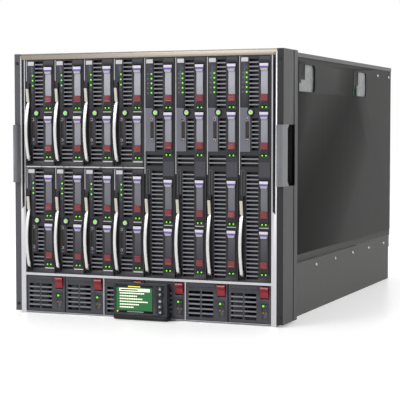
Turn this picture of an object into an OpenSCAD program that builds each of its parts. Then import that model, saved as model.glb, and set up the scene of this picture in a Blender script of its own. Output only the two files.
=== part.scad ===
// Blade server chassis: a rack enclosure with server blades and power supplies at the front,
// fans and interconnect modules at the rear, and a sliding display panel.
// Frame: X to the right seen from the front, Y from the front to the back, Z up.
// The origin is under the middle of the whole object, on the surface it stands on.

/* [Enclosure] */
// Clear depth between the signal board and the rear modules
plenum_d = 24.3; // [14:0.1:40]
// Thickness of the wall and cover sheet
wall_t = 1; // [0.8:0.1:1.4]
// Thickness of the floor of the base pan
floor_t = 2; // [1.5:0.1:3]
// Height of the lower tub's sides
tub_h = 90; // [80:1:110]
// Length the tub stops short of the upper body at the rear
tub_short = 12; // [6:1:20]
// Height of the space between the server bays and the top of the enclosure
crown_h = 10; // [8:1:14]
// Length the fan and module grips stand out at the rear
rear_reach = 33; // [24:1:40]

/* [Server bays] */
// Distance from one server blade to the next
bay_pitch = 55.2; // [54:0.1:56]
// Height of a half-height bay
bay_h = 180; // [176:1:186]
// Thickness of the shelf between two half-height bays
shelf_t = 2; // [1.6:0.1:3]
// Clear gap beside the outermost blades
bay_side_gap = 0.9; // [0.6:0.1:1.5]
// Thickness of the power deck that carries the blades
deck_t = 4; // [3:0.5:6]

/* [Server blade] */
// Length of a blade from its bezel to its rear panel
blade_d = 485; // [470:1:488]
// Gap between neighbouring blades
blade_gap = 1.2; // [1:0.1:1.6]
// Thickness of the blade's sheet
blade_t = 1.2; // [0.8:0.1:1.6]
// Depth of the moulded bezel
bezel_d = 16; // [12:1:20]
// Thickness of the vented bezel plate
bezel_t = 2.5; // [2:0.1:3.5]
// Distance from one vent slot to the next
slot_pitch = 6.7; // [6.4:0.1:7.2]
// Height of a vent slot
slot_h = 4.2; // [3:0.1:4.8]
// Width of a drive carrier
carrier_w = 18; // [16:0.5:19]
// Height of a drive carrier
carrier_h = 76; // [72:0.5:78]
// Diameter of the power button
button_dia = 8; // [6:0.5:9]

/* [Release lever] */
// Length of the release lever above its pivot
lever_len = 118; // [100:1:124]
// Width of the release lever
lever_w = 4.6; // [4.2:0.1:6]
// Thickness of the release lever
lever_t = 2.2; // [1.6:0.1:3]
// How far the lever bows out in front of its ends
lever_bow = 8; // [5:0.5:9]
// Radius of the lever's pivot pin
pivot_r = 1.6; // [1.2:0.1:2]

/* [Power supplies] */
// Distance from one power supply to the next
psu_pitch = 73.8; // [70:0.1:74.4]
// Height of a power supply
psu_h = 61; // [56:1:66]
// Length a power supply ends short of a server blade
psu_short = 7; // [0:0.5:20]
// Height of the skids under the power supplies
skid_h = 2.2; // [2:0.1:4]

/* [Front trim] */
// Depth of the front trim
trim_d = 14; // [10:1:20]
// Width of the trim posts outside the bays
post_w = 8.8; // [7:0.1:9.5]
// Height of the bottom sill
sill_h = 4; // [3.4:0.2:4.2]
// Height at which the black post insets end
inset_z = 184; // [150:1:220]

/* [Display] */
// Width of the display panel
display_w = 96; // [80:1:110]
// Height of the display panel
display_h = 53; // [46:1:55]
// How far the display stands in front of the trim
display_reach = 15; // [12:0.5:16]
// Width of the screen
screen_w = 67; // [60:1:70]
// Height of the screen
screen_h = 46; // [40:1:47]

/* [Rack ears] */
// Width of an ear outside the trim
ear_w = 10.8; // [10:0.1:11.2]
// Depth of the ear column
ear_d = 72; // [60:1:90]
// Sheet thickness of the ears
ear_t = 2; // [1.6:0.1:3]
// Depth of the rack flange behind the front plane
flange_y = 60; // [55:1:64]
// Thickness of the rack flange
flange_t = 3; // [2:0.5:5]
// Vertical distance between the rack holes
rack_hole_dz = 400.05; // [355.6:44.45:400.05]
// Horizontal distance between the rack holes
rack_hole_dx = 465.1; // [464:0.1:466]
// Radius of the rack holes
rack_hole_r = 3.5; // [3:0.1:3.6]
// Length of a grab handle
handle_len = 98; // [80:1:120]
// How far a grab handle stands in front of the trim
handle_reach = 12; // [8:1:15]

/* [Rear modules] */
// Sheet thickness of the rear cage
cage_t = 1.5; // [1:0.1:2]
// Height of a fan bay
fan_bay_h = 95; // [90:1:97]
// Height of the management module bays
admin_bay_h = 28; // [26:1:32]
// Length of a fan module
fan_d = 200; // [150:1:240]
// Length of an interconnect module
io_d = 240; // [200:1:250]
// Radius of the fan duct
duct_r = 39.5; // [34:0.5:41]
// Radius of the fan rotor
rotor_r = 38; // [30:0.5:40]
// Number of fan blades
rotor_blades = 7; // [5:1:9]
// Width of a power inlet's cavity
inlet_w = 31; // [29:0.5:33]
// Height of a power inlet's cavity
inlet_h = 23; // [21:0.5:24]

/* [Hidden] */
$fn = 48;
columns = 8;
psu_count = 6;
fan_columns = 5;
io_rows = 4;
seat_gap = 0.3;
film_gap = 0.05;
slide_gap = 0.5;
run_gap = 0.05;
cut = 1;

// Widths, from the bays outwards
bay_zone_w = columns * bay_pitch;
inner_w = bay_zone_w + 2 * bay_side_gap;
wall_out = inner_w / 2 + wall_t;
lip_t = 0.8;
post_in = inner_w / 2;
post_out = post_in + post_w;
ear_in = post_out + 0.2;
flange_out = ear_in + ear_w;

// Heights, from the floor upwards
psu_z = floor_t + skid_h + seat_gap;
deck_z = psu_z + psu_h + slide_gap;
bay_z = deck_z + deck_t;
shelf_z = bay_z + bay_h;
upper_z = shelf_z + shelf_t;
ceiling_z = upper_z + bay_h;
enclosure_h = ceiling_z + crown_h;

// Depths, from the front plane backwards
lever_stand = 4;
lip_reach = 1;
front_reach = display_reach + lip_reach;
bezel_in = 1.5;
board_gap = 10;
board_t = 3.2;
body_d = bezel_in + blade_d + board_gap + board_t + plenum_d + io_d;
front_y = front_reach - (front_reach + body_d + rear_reach) / 2;
bezel_y = front_y + bezel_in;
board_y = bezel_y + blade_d + board_gap;
cage_gap = 6;
cage_y = board_y + board_t + cage_gap;
rear_y = front_y + body_d;
psu_in = 2;
psu_d = blade_d - psu_short;
tub_rear = rear_y - tub_short;
blade_w = bay_pitch - blade_gap;
half_h = bay_h - 2 * slide_gap;
full_h = 2 * bay_h + shelf_t - 2 * slide_gap;
backplane_y = front_y + psu_in + psu_d + 8;

// Places on a blade's face, across from its left side and down from its top
strip_u = [3.2, 16.5];
vent_u = 17.8;
vent_end = 32.8;
bay_u = 33.8;
carrier_top = [9, 91.5];
full_carrier_top = [9, 86, 196, 276];
button_at = [20, 90];
pivot_v = 12;
lever_u = 4.4;

module block(lo, hi) { translate(lo) cube(hi - lo); }
module along_y(y0, y1) { translate([0, y1, 0]) rotate([90, 0, 0]) linear_extrude(y1 - y0) children(); }
module along_x(x0, x1) { translate([x0, 0, 0]) rotate([90, 0, 90]) linear_extrude(x1 - x0) children(); }
module rect(lo, hi) { translate(lo) square(hi - lo); }
module rod_x(x0, x1, r) { translate([x0, 0, 0]) rotate([0, 90, 0]) cylinder(h = x1 - x0, r = r); }
module rod_y(y0, y1, r) { translate([0, y1, 0]) rotate([90, 0, 0]) cylinder(h = y1 - y0, r = r); }
module both_sides() { children(); mirror([1, 0, 0]) children(); }

// ---- Sheet-metal body ----

// Folded tub: the floor, its two sides, the skids under the power supplies and floor ribs.
module base_pan() {
  color([0.38, 0.38, 0.39]) {
    along_y(front_y + trim_d, tub_rear) {
      rect([-wall_out, 0], [wall_out, floor_t]);
      both_sides() rect([inner_w / 2, 0], [wall_out, tub_h]);
    }
    along_y(front_y + trim_d, backplane_y - seat_gap)
      for (i = [0:psu_count - 1]) for (s = [-1, 1])
        translate([psu_x(i) + s * psu_pitch / 4, floor_t]) rect([-3, -cut / 2], [3, skid_h]);
    // inward hem that stiffens the rear of the floor
    block([-inner_w / 2, tub_rear - 12, floor_t - cut / 2], [inner_w / 2, tub_rear - 10.8, floor_t + 1.8]);
  }
}

// Side sheet with a set-back foot flange, two lifting sockets and a socket catch in each.
pocket_y = [136, 474];
pocket_l = 90;
pocket_h = 46;
pocket_z = enclosure_h - 64;
foot_h = 13;
foot_set = 0.5;
catch_l = 34;
catch_h = 26;
module side_wall() {
  color([0.15, 0.15, 0.15]) {
    difference() {
      union() {
        block([inner_w / 2, front_y + trim_d, tub_h + foot_h + 1], [wall_out, rear_y, enclosure_h - wall_t - lip_t]);
        block([inner_w / 2, front_y + trim_d, tub_h + 1], [wall_out - foot_set, rear_y, tub_h + foot_h + 1 + cut]);
      }
      for (y = pocket_y) translate([0, front_y + y, pocket_z])
        along_x(inner_w / 2 - cut, wall_out + cut) socket_outline(0);
    }
    for (y = pocket_y) translate([0, front_y + y, pocket_z]) {
      // pressed rim round each socket
      along_x(wall_out - cut / 2, wall_out + 0.6) difference() {
        socket_outline(2.4);
        socket_outline(0);
      }
      // catch plate in the upper front corner
      block([inner_w / 2, 0, pocket_h - catch_h], [wall_out, catch_l, pocket_h]);
      block([inner_w / 2, 0, pocket_h - catch_h - 6], [wall_out, 12, pocket_h - catch_h + cut]);
    }
  }
}
module socket_outline(grow) {
  c = 6;
  polygon([[-grow, -grow], [pocket_l - c + grow / 2, -grow], [pocket_l + grow, c - grow / 2],
    [pocket_l + grow, pocket_h - c + grow / 2], [pocket_l - c + grow / 2, pocket_h + grow],
    [-grow, pocket_h + grow]]);
}
module right_wall() { side_wall(); }
module left_wall() { mirror([1, 0, 0]) side_wall(); }

// Top sheet with lips folded down over the walls and pressed stiffening ribs.
rib_count = 5;
rib_in = [90, 30];
cover_lip = 7;
module top_cover() {
  color([0.33, 0.33, 0.34]) {
    block([-wall_out - lip_t, front_y + trim_d, enclosure_h - wall_t], [wall_out + lip_t, rear_y, enclosure_h]);
    both_sides() block([wall_out, front_y + trim_d, enclosure_h - cover_lip], [wall_out + lip_t, rear_y, enclosure_h - wall_t / 2]);
    for (i = [0:rib_count - 1])
      translate([0, front_y + rib_in[0] + i * (blade_d - rib_in[0] - rib_in[1]) / (rib_count - 1), 0])
        block([-bay_zone_w / 2, 0, ceiling_z + ceiling_t + seat_gap], [bay_zone_w / 2, 6, enclosure_h - wall_t / 2]);
  }
}

// Deck between the power supplies and the server bays, with a folded front and stiffeners.
sheet_t = 1.2;
module power_deck() {
  color([0.45, 0.45, 0.46]) {
    block([-inner_w / 2, front_y + trim_d, bay_z - sheet_t], [inner_w / 2, board_y + board_t, bay_z]);
    for (i = [1:psu_count - 1]) translate([-psu_count * psu_pitch / 2 + i * psu_pitch, 0, 0])
      block([-sheet_t / 2, front_y + trim_d, deck_z], [sheet_t / 2, board_y - 6, bay_z - sheet_t / 2]);
    both_sides() block([inner_w / 2 - 4, front_y + trim_d, deck_z], [inner_w / 2, board_y - 6, bay_z - sheet_t / 2]);
  }
}

// Two lift-out shelves, each two bays wide, with a front lip and grip notches.
module bay_dividers() {
  color([0.72, 0.72, 0.73]) for (i = [0, 1]) translate([-bay_zone_w / 2 + i * 2 * bay_pitch, 0, 0]) {
    difference() {
      block([0.4, front_y + 0.8, shelf_z], [2 * bay_pitch - 0.4, board_y - 8, upper_z]);
      for (u = [0.62, 1.38]) translate([u * bay_pitch, front_y, 0])
        block([-5, -cut, shelf_z - cut], [5, 3, upper_z + cut]);
      for (k = [0:5]) for (u = [0.5, 1.5]) translate([u * bay_pitch, front_y + 60 + k * 66, 0])
        block([-16, 0, shelf_z - cut], [16, 40, upper_z + cut]);
    }
  }
}

// Ceiling plate with hanging ribs, and ribs on the deck, that guide the blades.
ceiling_t = 1.2;
rail_w = blade_gap - 2 * seat_gap;
rail_h = 4;
module guide_rails() {
  color([0.5, 0.5, 0.51]) {
    block([-inner_w / 2, front_y + trim_d, ceiling_z], [inner_w / 2, board_y - 2, ceiling_z + ceiling_t]);
    for (i = [1:columns - 1]) translate([-bay_zone_w / 2 + i * bay_pitch, 0, 0]) {
      block([-rail_w / 2, front_y + 24, ceiling_z - rail_h], [rail_w / 2, board_y - 14, ceiling_z + ceiling_t / 2]);
      block([-rail_w / 2, front_y + 24, bay_z], [rail_w / 2, board_y - 14, bay_z + rail_h]);
    }
  }
}

// ---- Boards ----

// Signal board across the middle, with a plug pair for every bay and for every rear module.
plug_w = 14;
plug_u = blade_w * 0.62;
board_sheet = 1.6;
plug_h = 46;
module midplane_board() {
  color([0.1, 0.3, 0.16]) {
    block([-inner_w / 2, board_y, bay_z], [inner_w / 2, board_y + board_t, ceiling_z]);
    for (c = [0:columns - 1]) for (z = [bay_z, upper_z]) for (v = [0.28, 0.72])
      translate([column_x(c) + plug_u, board_y, z + v * bay_h])
        block([-plug_w / 2, -board_gap + 4.3, -plug_h / 2], [plug_w / 2, cut / 2, plug_h / 2]);
    for (r = [0:io_rows - 1]) for (s = [-1, 1])
      translate([s * inner_w / 4, board_y + board_t, io_z(r) + io_bay_h / 2])
        block([-40, -cut / 2, -6], [40, 5, 6]);
  }
}

// Power board with one socket for each power supply and a pair of bus bars.
module power_backplane() {
  y = backplane_y;
  color([0.12, 0.26, 0.17]) block([-inner_w / 2, y, floor_t], [inner_w / 2, y + board_t, deck_z - seat_gap]);
  color([0.72, 0.45, 0.25]) for (z = [16, 40])
    block([-inner_w / 2 + 12, y + board_t, z], [inner_w / 2 - 12, y + board_t + 4, z + 12]);
  color([0.1, 0.1, 0.1]) for (i = [0:psu_count - 1]) translate([psu_x(i), y, psu_z + psu_h / 2])
    block([-22, -4, -9], [22, 0, 9]);
}

// ---- Front trim and ears ----

// Surround with two posts, a head, the sill between the two zones and the bottom sill.
post_slot = [1.6, 2];
groove_z = [1.2, 3.2];
groove_d = 6;
module front_trim() {
  color([0.8, 0.8, 0.8]) difference() {
    along_y(front_y, front_y + trim_d) difference() {
      rect([-post_out, 0], [post_out, enclosure_h]);
      rect([-post_in, bay_z], [post_in, ceiling_z]);
      difference() {
        rect([-post_in, sill_h], [post_in, deck_z]);
        for (s = [-1, 1]) translate([s * psu_pitch, 0]) rect([-0.7, 0], [0.7, enclosure_h]);
      }
    }
    // recesses for the post insets
    both_sides() along_y(front_y - cut, front_y + 4) post_recess(0);
    // groove that the display slides in
    block([-post_in, front_y - cut, groove_z[0]], [post_in, front_y + groove_d, groove_z[1]]);
    // crown of the head, rolled back
    along_x(-post_out - cut, post_out + cut)
      polygon([[front_y - cut, enclosure_h + cut], [front_y - cut, enclosure_h - 3], [front_y, enclosure_h - 3],
        [front_y + 1.2, enclosure_h - 1], [front_y + 3.4, enclosure_h], [front_y + 3.4, enclosure_h + cut]]);
  }
}
module post_recess(shrink) {
  x0 = post_in + post_slot[0] + shrink;
  x1 = post_out - post_slot[1] - shrink;
  polygon([[x0, inset_z + shrink], [x1, inset_z - 5 + shrink], [x1, ceiling_z - shrink], [x0, ceiling_z - shrink]]);
}

// Black ribbed strips that sit in the trim posts.
module trim_insets() {
  color([0.06, 0.06, 0.07]) both_sides() difference() {
    along_y(front_y + 0.8, front_y + 4) post_recess(0.1);
    translate([(post_in + post_out) / 2 - 0.2, front_y + 0.8, 0])
      block([-0.7, -cut, inset_z + 6], [0.7, 1.2, ceiling_z - 6]);
  }
}

// Folded ear: front face, side plate, rack flange, and the grab handle over its opening.
handle_z = enclosure_h / 2 + 52;
opening_y = [21, 58];
corner = 7;
handle_t = 2.4;
handle_back = front_y + opening_y[0] - 1;
module ear() {
  z0 = handle_z - handle_len / 2;
  z1 = handle_z + handle_len / 2;
  color([0.2, 0.2, 0.21]) difference() {
    union() {
      along_z(4, enclosure_h) {
        rect([ear_in, front_y], [flange_out, front_y + ear_t]);
        rect([flange_out - ear_t, front_y], [flange_out, front_y + ear_d]);
      }
      along_z(4, enclosure_h - cover_lip - seat_gap)
        rect([wall_out, front_y + flange_y], [flange_out, front_y + flange_y + flange_t]);
      block([ear_in, front_y, enclosure_h - 3], [flange_out, front_y + flange_y + cut, enclosure_h - 1]);
      block([ear_in, front_y, 4], [flange_out, front_y + flange_y + cut, 6]);
    }
    // shadow groove down the side plate
    block([flange_out - 0.8, front_y + 50, 0], [flange_out + cut, front_y + 54, enclosure_h + cut]);
    // finger opening
    along_x(flange_out - ear_t - cut, flange_out + cut) polygon([
      [front_y + opening_y[0] + corner, z0], [front_y + opening_y[1], z0], [front_y + opening_y[1], z1],
      [front_y + opening_y[0] + corner, z1], [front_y + opening_y[0], z1 - corner], [front_y + opening_y[0], z0 + corner]]);
    block([ear_in - cut, front_y - cut, z0], [flange_out + cut, front_y + ear_t + cut, z1]);
    for (s = [-1, 1]) translate([rack_hole_dx / 2, 0, enclosure_h / 2 + s * rack_hole_dz / 2])
      rod_y(front_y + flange_y - cut, front_y + flange_y + flange_t + cut, rack_hole_r);
  }
  // grab handle: a curved plate that swells forward, with closed ends
  color([0.5, 0.5, 0.52]) {
    along_z(z0 + 0.2, z1 - 0.2) difference() {
      handle_profile(0, handle_back);
      handle_profile(handle_t, handle_back + cut);
    }
    for (z = [z0 + 0.2, z1 - 0.2 - handle_t]) along_z(z, z + handle_t) handle_profile(0, handle_back);
  }
}
module along_z(z0, z1) { translate([0, 0, z0]) linear_extrude(z1 - z0) children(); }
// Section of the grab handle: an arc that swells forward, then a straight side plate.
module handle_profile(inset, back) {
  w = flange_out - ear_in;
  crest = ear_in + 0.6 * w;
  polygon(concat(
    [for (i = [0:12]) let (a = 180 - 15 * i, r = (i < 6 ? 0.6 : 0.4) * w - inset)
      [crest + r * cos(a), front_y - (handle_reach - inset) * sin(a)]],
    [[flange_out - inset, back], [ear_in + inset, back]]));
}
module ear_right() { ear(); }
module ear_left() { mirror([1, 0, 0]) ear(); }

function column_x(c) = -bay_zone_w / 2 + c * bay_pitch + blade_gap / 2;
function psu_x(i) = (i - (psu_count - 1) / 2) * psu_pitch;

// ---- Rear of the enclosure ----

cage_top = enclosure_h - wall_t - seat_gap;
fan_bay_w = (inner_w - 2 * seat_gap - (fan_columns + 1) * cage_t) / fan_columns;
half_bay_w = (inner_w - 2 * seat_gap - 3 * cage_t) / 2;
low_fan_z = deck_z + cage_t;
admin_z = low_fan_z + fan_bay_h + cage_t;
io_base = admin_z + admin_bay_h + cage_t;
high_fan_z = cage_top - cage_t - fan_bay_h;
io_bay_h = (high_fan_z - io_base) / io_rows - cage_t;
function fan_x(c) = (c - (fan_columns - 1) / 2) * (fan_bay_w + cage_t);
function half_x(s) = s * (half_bay_w + cage_t) / 2;
function io_z(r) = io_base + r * (io_bay_h + cage_t);

// Sheet-metal grid that holds the fans, the interconnect and the management modules.
module rear_cage() {
  color([0.52, 0.52, 0.53]) along_y(cage_y, rear_y) difference() {
    rect([-inner_w / 2 + seat_gap, deck_z], [inner_w / 2 - seat_gap, cage_top]);
    for (c = [0:fan_columns - 1]) for (z = [low_fan_z, high_fan_z])
      translate([fan_x(c), z]) rect([-fan_bay_w / 2, 0], [fan_bay_w / 2, fan_bay_h]);
    for (s = [-1, 1]) {
      translate([half_x(s), admin_z]) rect([-half_bay_w / 2, 0], [half_bay_w / 2, admin_bay_h]);
      for (r = [0:io_rows - 1])
        translate([half_x(s), io_z(r)]) rect([-half_bay_w / 2, 0], [half_bay_w / 2, io_bay_h]);
    }
  }
}

// Inlet panel: a folded panel with six sockets, each with three blades in its cavity.
inlet_wall = 2;
inlet_d = 22;
pin = [2, 8, 14];
module power_inlets() {
  mid_z = (floor_t + deck_z) / 2;
  y1 = tub_rear - 2;
  color([0.42, 0.42, 0.43]) difference() {
    block([-inner_w / 2 + seat_gap, y1 - wall_t, floor_t + seat_gap], [inner_w / 2 - seat_gap, y1, deck_z - seat_gap]);
    for (i = [0:psu_count - 1]) translate([psu_x(i), 0, mid_z])
      block([-inlet_w / 2 - inlet_wall, y1 - 3, -inlet_h / 2 - inlet_wall],
        [inlet_w / 2 + inlet_wall, y1 + cut, inlet_h / 2 + inlet_wall]);
    for (i = [0:psu_count - 1]) for (z = [10, deck_z - 10]) for (k = [-3:3])
      translate([psu_x(i) + k * 8, 0, z]) block([-2.2, y1 - 3, -2], [2.2, y1 + cut, 2]);
  }
  color([0.05, 0.05, 0.05]) for (i = [0:psu_count - 1]) translate([psu_x(i), 0, mid_z]) inlet(y1);
}
module inlet(y1) {
  difference() {
    union() {
      along_y(y1 - inlet_d - 3, y1) inlet_outline(inlet_wall);
      along_y(y1, y1 + 2) inlet_outline(inlet_wall + 2.5);
    }
    along_y(y1 - inlet_d, y1 + 2 + cut) inlet_outline(0);
  }
  for (p = [[-9, -3], [0, -3], [9, -3]])
    translate([p[0], y1 - inlet_d - cut / 2, p[1] - pin[1] / 2]) translate([-pin[0] / 2, 0, 0])
      cube([pin[0], pin[2], pin[1]]);
}
module inlet_outline(grow) {
  w = inlet_w / 2 + grow;
  h = inlet_h / 2 + grow;
  polygon([[-w, -h], [w, -h], [w, h - 5], [w - 5, h], [5 - w, h], [-w, h - 5]]);
}

// Fan module: ducted housing, ring guard, motor on struts, and a pull grip under a latch.
guard_t = 1.6;
shaft_r = 3;
hub_r = 17;
grip_w = 30;
module fan_housing() {
  w = fan_bay_w - 2 * seat_gap;
  h = fan_bay_h - 2 * seat_gap;
  y1 = rear_y;
  color([0.1, 0.1, 0.11]) difference() {
    translate([-w / 2, y1 - fan_d, -h / 2]) cube([w, fan_d, h]);
    rod_y(y1 - fan_d - cut, y1 - 4, duct_r);
    difference() {
      rod_y(y1 - 5, y1 + cut, duct_r);
      for (r = [hub_r : 7 : duct_r - 2]) rod_y(y1 - guard_t, y1 + 2 * cut, r);
    }
    for (r = [hub_r + guard_t : 7 : duct_r - 1]) difference() {
      rod_y(y1 - 5, y1 + cut, min(r + 7 - guard_t, duct_r));
      rod_y(y1 - 6, y1 + 2 * cut, r);
      for (a = [45, 135]) rotate([0, a, 0]) translate([-1.2, y1 - 7, -duct_r - cut]) cube([2.4, 9, 2 * duct_r + 2]);
    }
  }
  color([0.18, 0.18, 0.19]) {
    rod_y(y1 - 34, y1 - guard_t - 0.4, hub_r);
    rod_y(y1 - 58, y1 - 33, shaft_r);
    for (a = [45, 135]) rotate([0, a, 0]) translate([-2, y1 - 20, -duct_r - 0.3]) cube([4, 10, 2 * duct_r + 0.6]);
  }
  // grip that is pulled to slide the module out
  color([0.45, 0.08, 0.16]) translate([0, 0, -h / 2 + 3]) difference() {
    along_x(-grip_w / 2, grip_w / 2) polygon([[y1, 0], [y1 + rear_reach - 8, 0], [y1 + rear_reach, 2.5],
      [y1 + rear_reach, 5], [y1 + rear_reach - 4, 5.5], [y1 + rear_reach - 9, 3.6], [y1, 6]]);
    for (k = [-2:2]) translate([k * 5, y1 + rear_reach - 8, -cut]) cube([1.4, 5, 1.8]);
  }
}
module rotor() {
  y0 = rear_y - 60;
  color([0.3, 0.3, 0.32]) difference() {
    union() {
      rod_y(y0, y0 + 24, hub_r - 1);
      for (i = [0:rotor_blades - 1]) rotate([0, i * 360 / rotor_blades, 0]) translate([hub_r - 3, y0 + 12, 0])
        rotate([52, 0, 0]) translate([0, -1, -11]) cube([rotor_r - hub_r + 2.4, 2, 22]);
    }
    rod_y(y0 + 1, y0 + 25, shaft_r + run_gap);
  }
}
module fan_place(c, z) { translate([fan_x(c), 0, z + fan_bay_h / 2]) children(); }
module fan_module() { fan_place(0, high_fan_z) fan_housing(); }
module fan_rotor() { fan_place(0, high_fan_z) rotor(); }
module fan_units() {
  for (c = [0:fan_columns - 1]) for (z = [low_fan_z, high_fan_z]) if (c > 0 || z == low_fan_z)
    fan_place(c, z) {
      fan_housing();
      rotor();
    }
}

// Rear module: a long tray with a recessed port face and an ejector at one end.
module tray(h, d, ports) {
  w = half_bay_w - 2 * seat_gap;
  g = h - 2 * seat_gap;
  y1 = rear_y;
  color([0.36, 0.36, 0.37]) {
    difference() {
      translate([-w / 2, y1 - d, 0]) cube([w, d, g]);
      translate([-w / 2 + 22, y1 - 3, 4]) cube([w - 44, 4, g - 8]);
      translate([-w / 2 + 1.5, y1 - d - cut, 1.5]) cube([w - 3, d - 3.5, g - 3]);
    }
    for (i = [0:ports - 1]) translate([-w / 2 + 30 + i * (w - 76) / (ports - 1), y1 - 3.5, 6])
      difference() {
        cube([15, 3, g - 12]);
        translate([2, 1.5, 2]) cube([11, 2, g - 16]);
      }
  }
  color([0.45, 0.08, 0.16]) translate([w / 2 - 18, 0, 5])
    along_x(0, 14) polygon([[y1, 0], [y1 + 11, 2], [y1 + 12.5, 5], [y1 + 10, g - 12], [y1, g - 10]]);
}
module io_place(r, s) { translate([half_x(s), 0, io_z(r) + seat_gap]) children(); }
module interconnect_module() { io_place(io_rows - 1, -1) tray(io_bay_h, io_d, 8); }
module admin_module() { translate([half_x(-1), 0, admin_z + seat_gap]) tray(admin_bay_h, io_d, 4); }
module rear_modules() {
  for (r = [0:io_rows - 1]) for (s = [-1, 1]) if (r < io_rows - 1 || s > 0) io_place(r, s) tray(io_bay_h, io_d, 8);
  translate([half_x(1), 0, admin_z + seat_gap]) tray(admin_bay_h, io_d, 4);
}

// ---- Server blades ----

blade_spots = [
  [0, 1], [1, 1], [2, 1], [3, 1], [0, 0], [1, 0], [2, 0], [3, 0], [4, 2], [5, 2], [6, 2], [7, 2]
];
function is_full(n) = blade_spots[n][1] == 2;
function blade_h(n) = is_full(n) ? full_h : half_h;
function blade_z(n) = blade_spots[n][1] == 1 ? upper_z + slide_gap : bay_z + slide_gap;
module blade_place(n) { translate([column_x(blade_spots[n][0]), bezel_y, blade_z(n)]) children(); }

// Slot rows on a blade's face: left edge, right edge, first row from the top, number of rows.
half_slots = [[vent_u, vent_end, 4.6, 12], [21.9, vent_end, 101.6, 7], [13.4, vent_end, 148.6, 5]];
full_slots = [[vent_u, vent_end, 7.5, 12], [21.9, vent_end, 101.6, 8], [4.5, vent_end, 161, 3],
  [13.4, vent_end, 187, 26]];
module slots(h, rows) {
  for (g = rows) for (i = [0:g[3] - 1]) if (g[2] + i * slot_pitch + slot_h / 2 < h - 2)
    translate([0, 0, h - g[2] - i * slot_pitch])
      block([g[0], -cut, -slot_h / 2], [g[1], bezel_t + cut, slot_h / 2]);
}

foot_d = 1.8;
strip_low = 84;
// Moulded bezel: raised label strip, slotted vent plate, open drive bays and a lever recess.
module bezel(h, rows, tops) {
  difference() {
    union() {
      block([0, 0, 0], [blade_w, bezel_d, h]);
      block([strip_u[0], -0.8, h - strip_low], [strip_u[1], cut, h - 2]);
      block([strip_u[0] + 7, -0.8, h - 144], [strip_u[1] + 4, cut, h - 96]);
    }
    block([2, bezel_t, 2], [vent_end + 0.4, bezel_d + cut, h - 2]);
    for (t = tops) block([bay_u, -2, h - t - carrier_h - seat_gap], [bay_u + carrier_w + 2 * seat_gap, bezel_d + cut, h - t + seat_gap]);
    slots(h, rows);
    // recess for the release lever along the left edge
    block([lever_u - seat_gap, -2, pivot_v + 6], [lever_u + lever_w + seat_gap, bezel_t - 1, pivot_v + lever_len + 3]);
    block([-cut, -2, pivot_v - 10], [lever_u + lever_w + 2.4, foot_d, pivot_v + 6]);
    translate([button_at[0], 0, h - button_at[1]]) rotate([90, 0, 0]) translate([0, 0, -bezel_t - cut])
      cylinder(h = bezel_t + 3, d = button_dia + 4 + 2 * seat_gap, $fn = 12);
    // rebate above the top drive bay
    block([bay_u + 3, -cut, h - tops[0] + 3], [bay_u + carrier_w - 2, 1, h - 2]);
  }
}

// Sheet case of a blade with its board, heat sinks and rear plugs.
module blade_case(h) {
  y0 = bezel_d + film_gap;
  difference() {
    block([0, y0, 0], [blade_w, blade_d, h]);
    block([blade_t, y0 - cut, blade_t], [blade_w - blade_t, blade_d - blade_t, h - blade_t]);
    for (k = [0:7]) translate([0, 80 + k * 44, h - blade_t])
      block([10, 0, -cut], [blade_w - 10, 30, blade_t + cut]);
    block([blade_t + 1, blade_d - 2 * blade_t, 8], [plug_u + plug_w, blade_d + cut, h - 8]);
  }
}
sink = [30, 80, 70];
module blade_inside(h) {
  u = blade_t + seat_gap;
  color([0.1, 0.3, 0.16]) block([u, 112, u], [u + board_sheet, blade_d - 6, h - u]);
  color([0.7, 0.7, 0.72]) for (k = [0, 1]) translate([u + board_sheet, 190 + k * 110, h * 0.3]) {
    cube([5, sink[1], sink[2]]);
    for (f = [0:7]) translate([4, f * 11, 0]) cube([sink[0], 2, sink[2]]);
  }
  color([0.1, 0.1, 0.1]) for (v = (h > half_h ? [0.14, 0.36, 0.64, 0.86] : [0.28, 0.72]))
    block([u + board_sheet, blade_d - 30, v * h - plug_h / 2], [plug_u + plug_w / 2, blade_d + board_gap - 6, v * h + plug_h / 2]);
}

// Clevis and pin at the foot of the release lever.
clevis_t = 1.4;
pivot_y = -lever_stand / 2;
module lever_clevis() {
  difference() {
    for (u = [lever_u - clevis_t - slide_gap / 2, lever_u + lever_w + slide_gap / 2])
      block([u, pivot_y - pivot_r - 1.4, pivot_v - 5], [u + clevis_t, foot_d - film_gap, pivot_v + 4]);
    translate([0, pivot_y, pivot_v]) rod_x(0, lever_u + lever_w + 4, pivot_r);
  }
  translate([0, pivot_y, pivot_v]) rod_x(lever_u - clevis_t, lever_u + lever_w + clevis_t, pivot_r);
}

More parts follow.
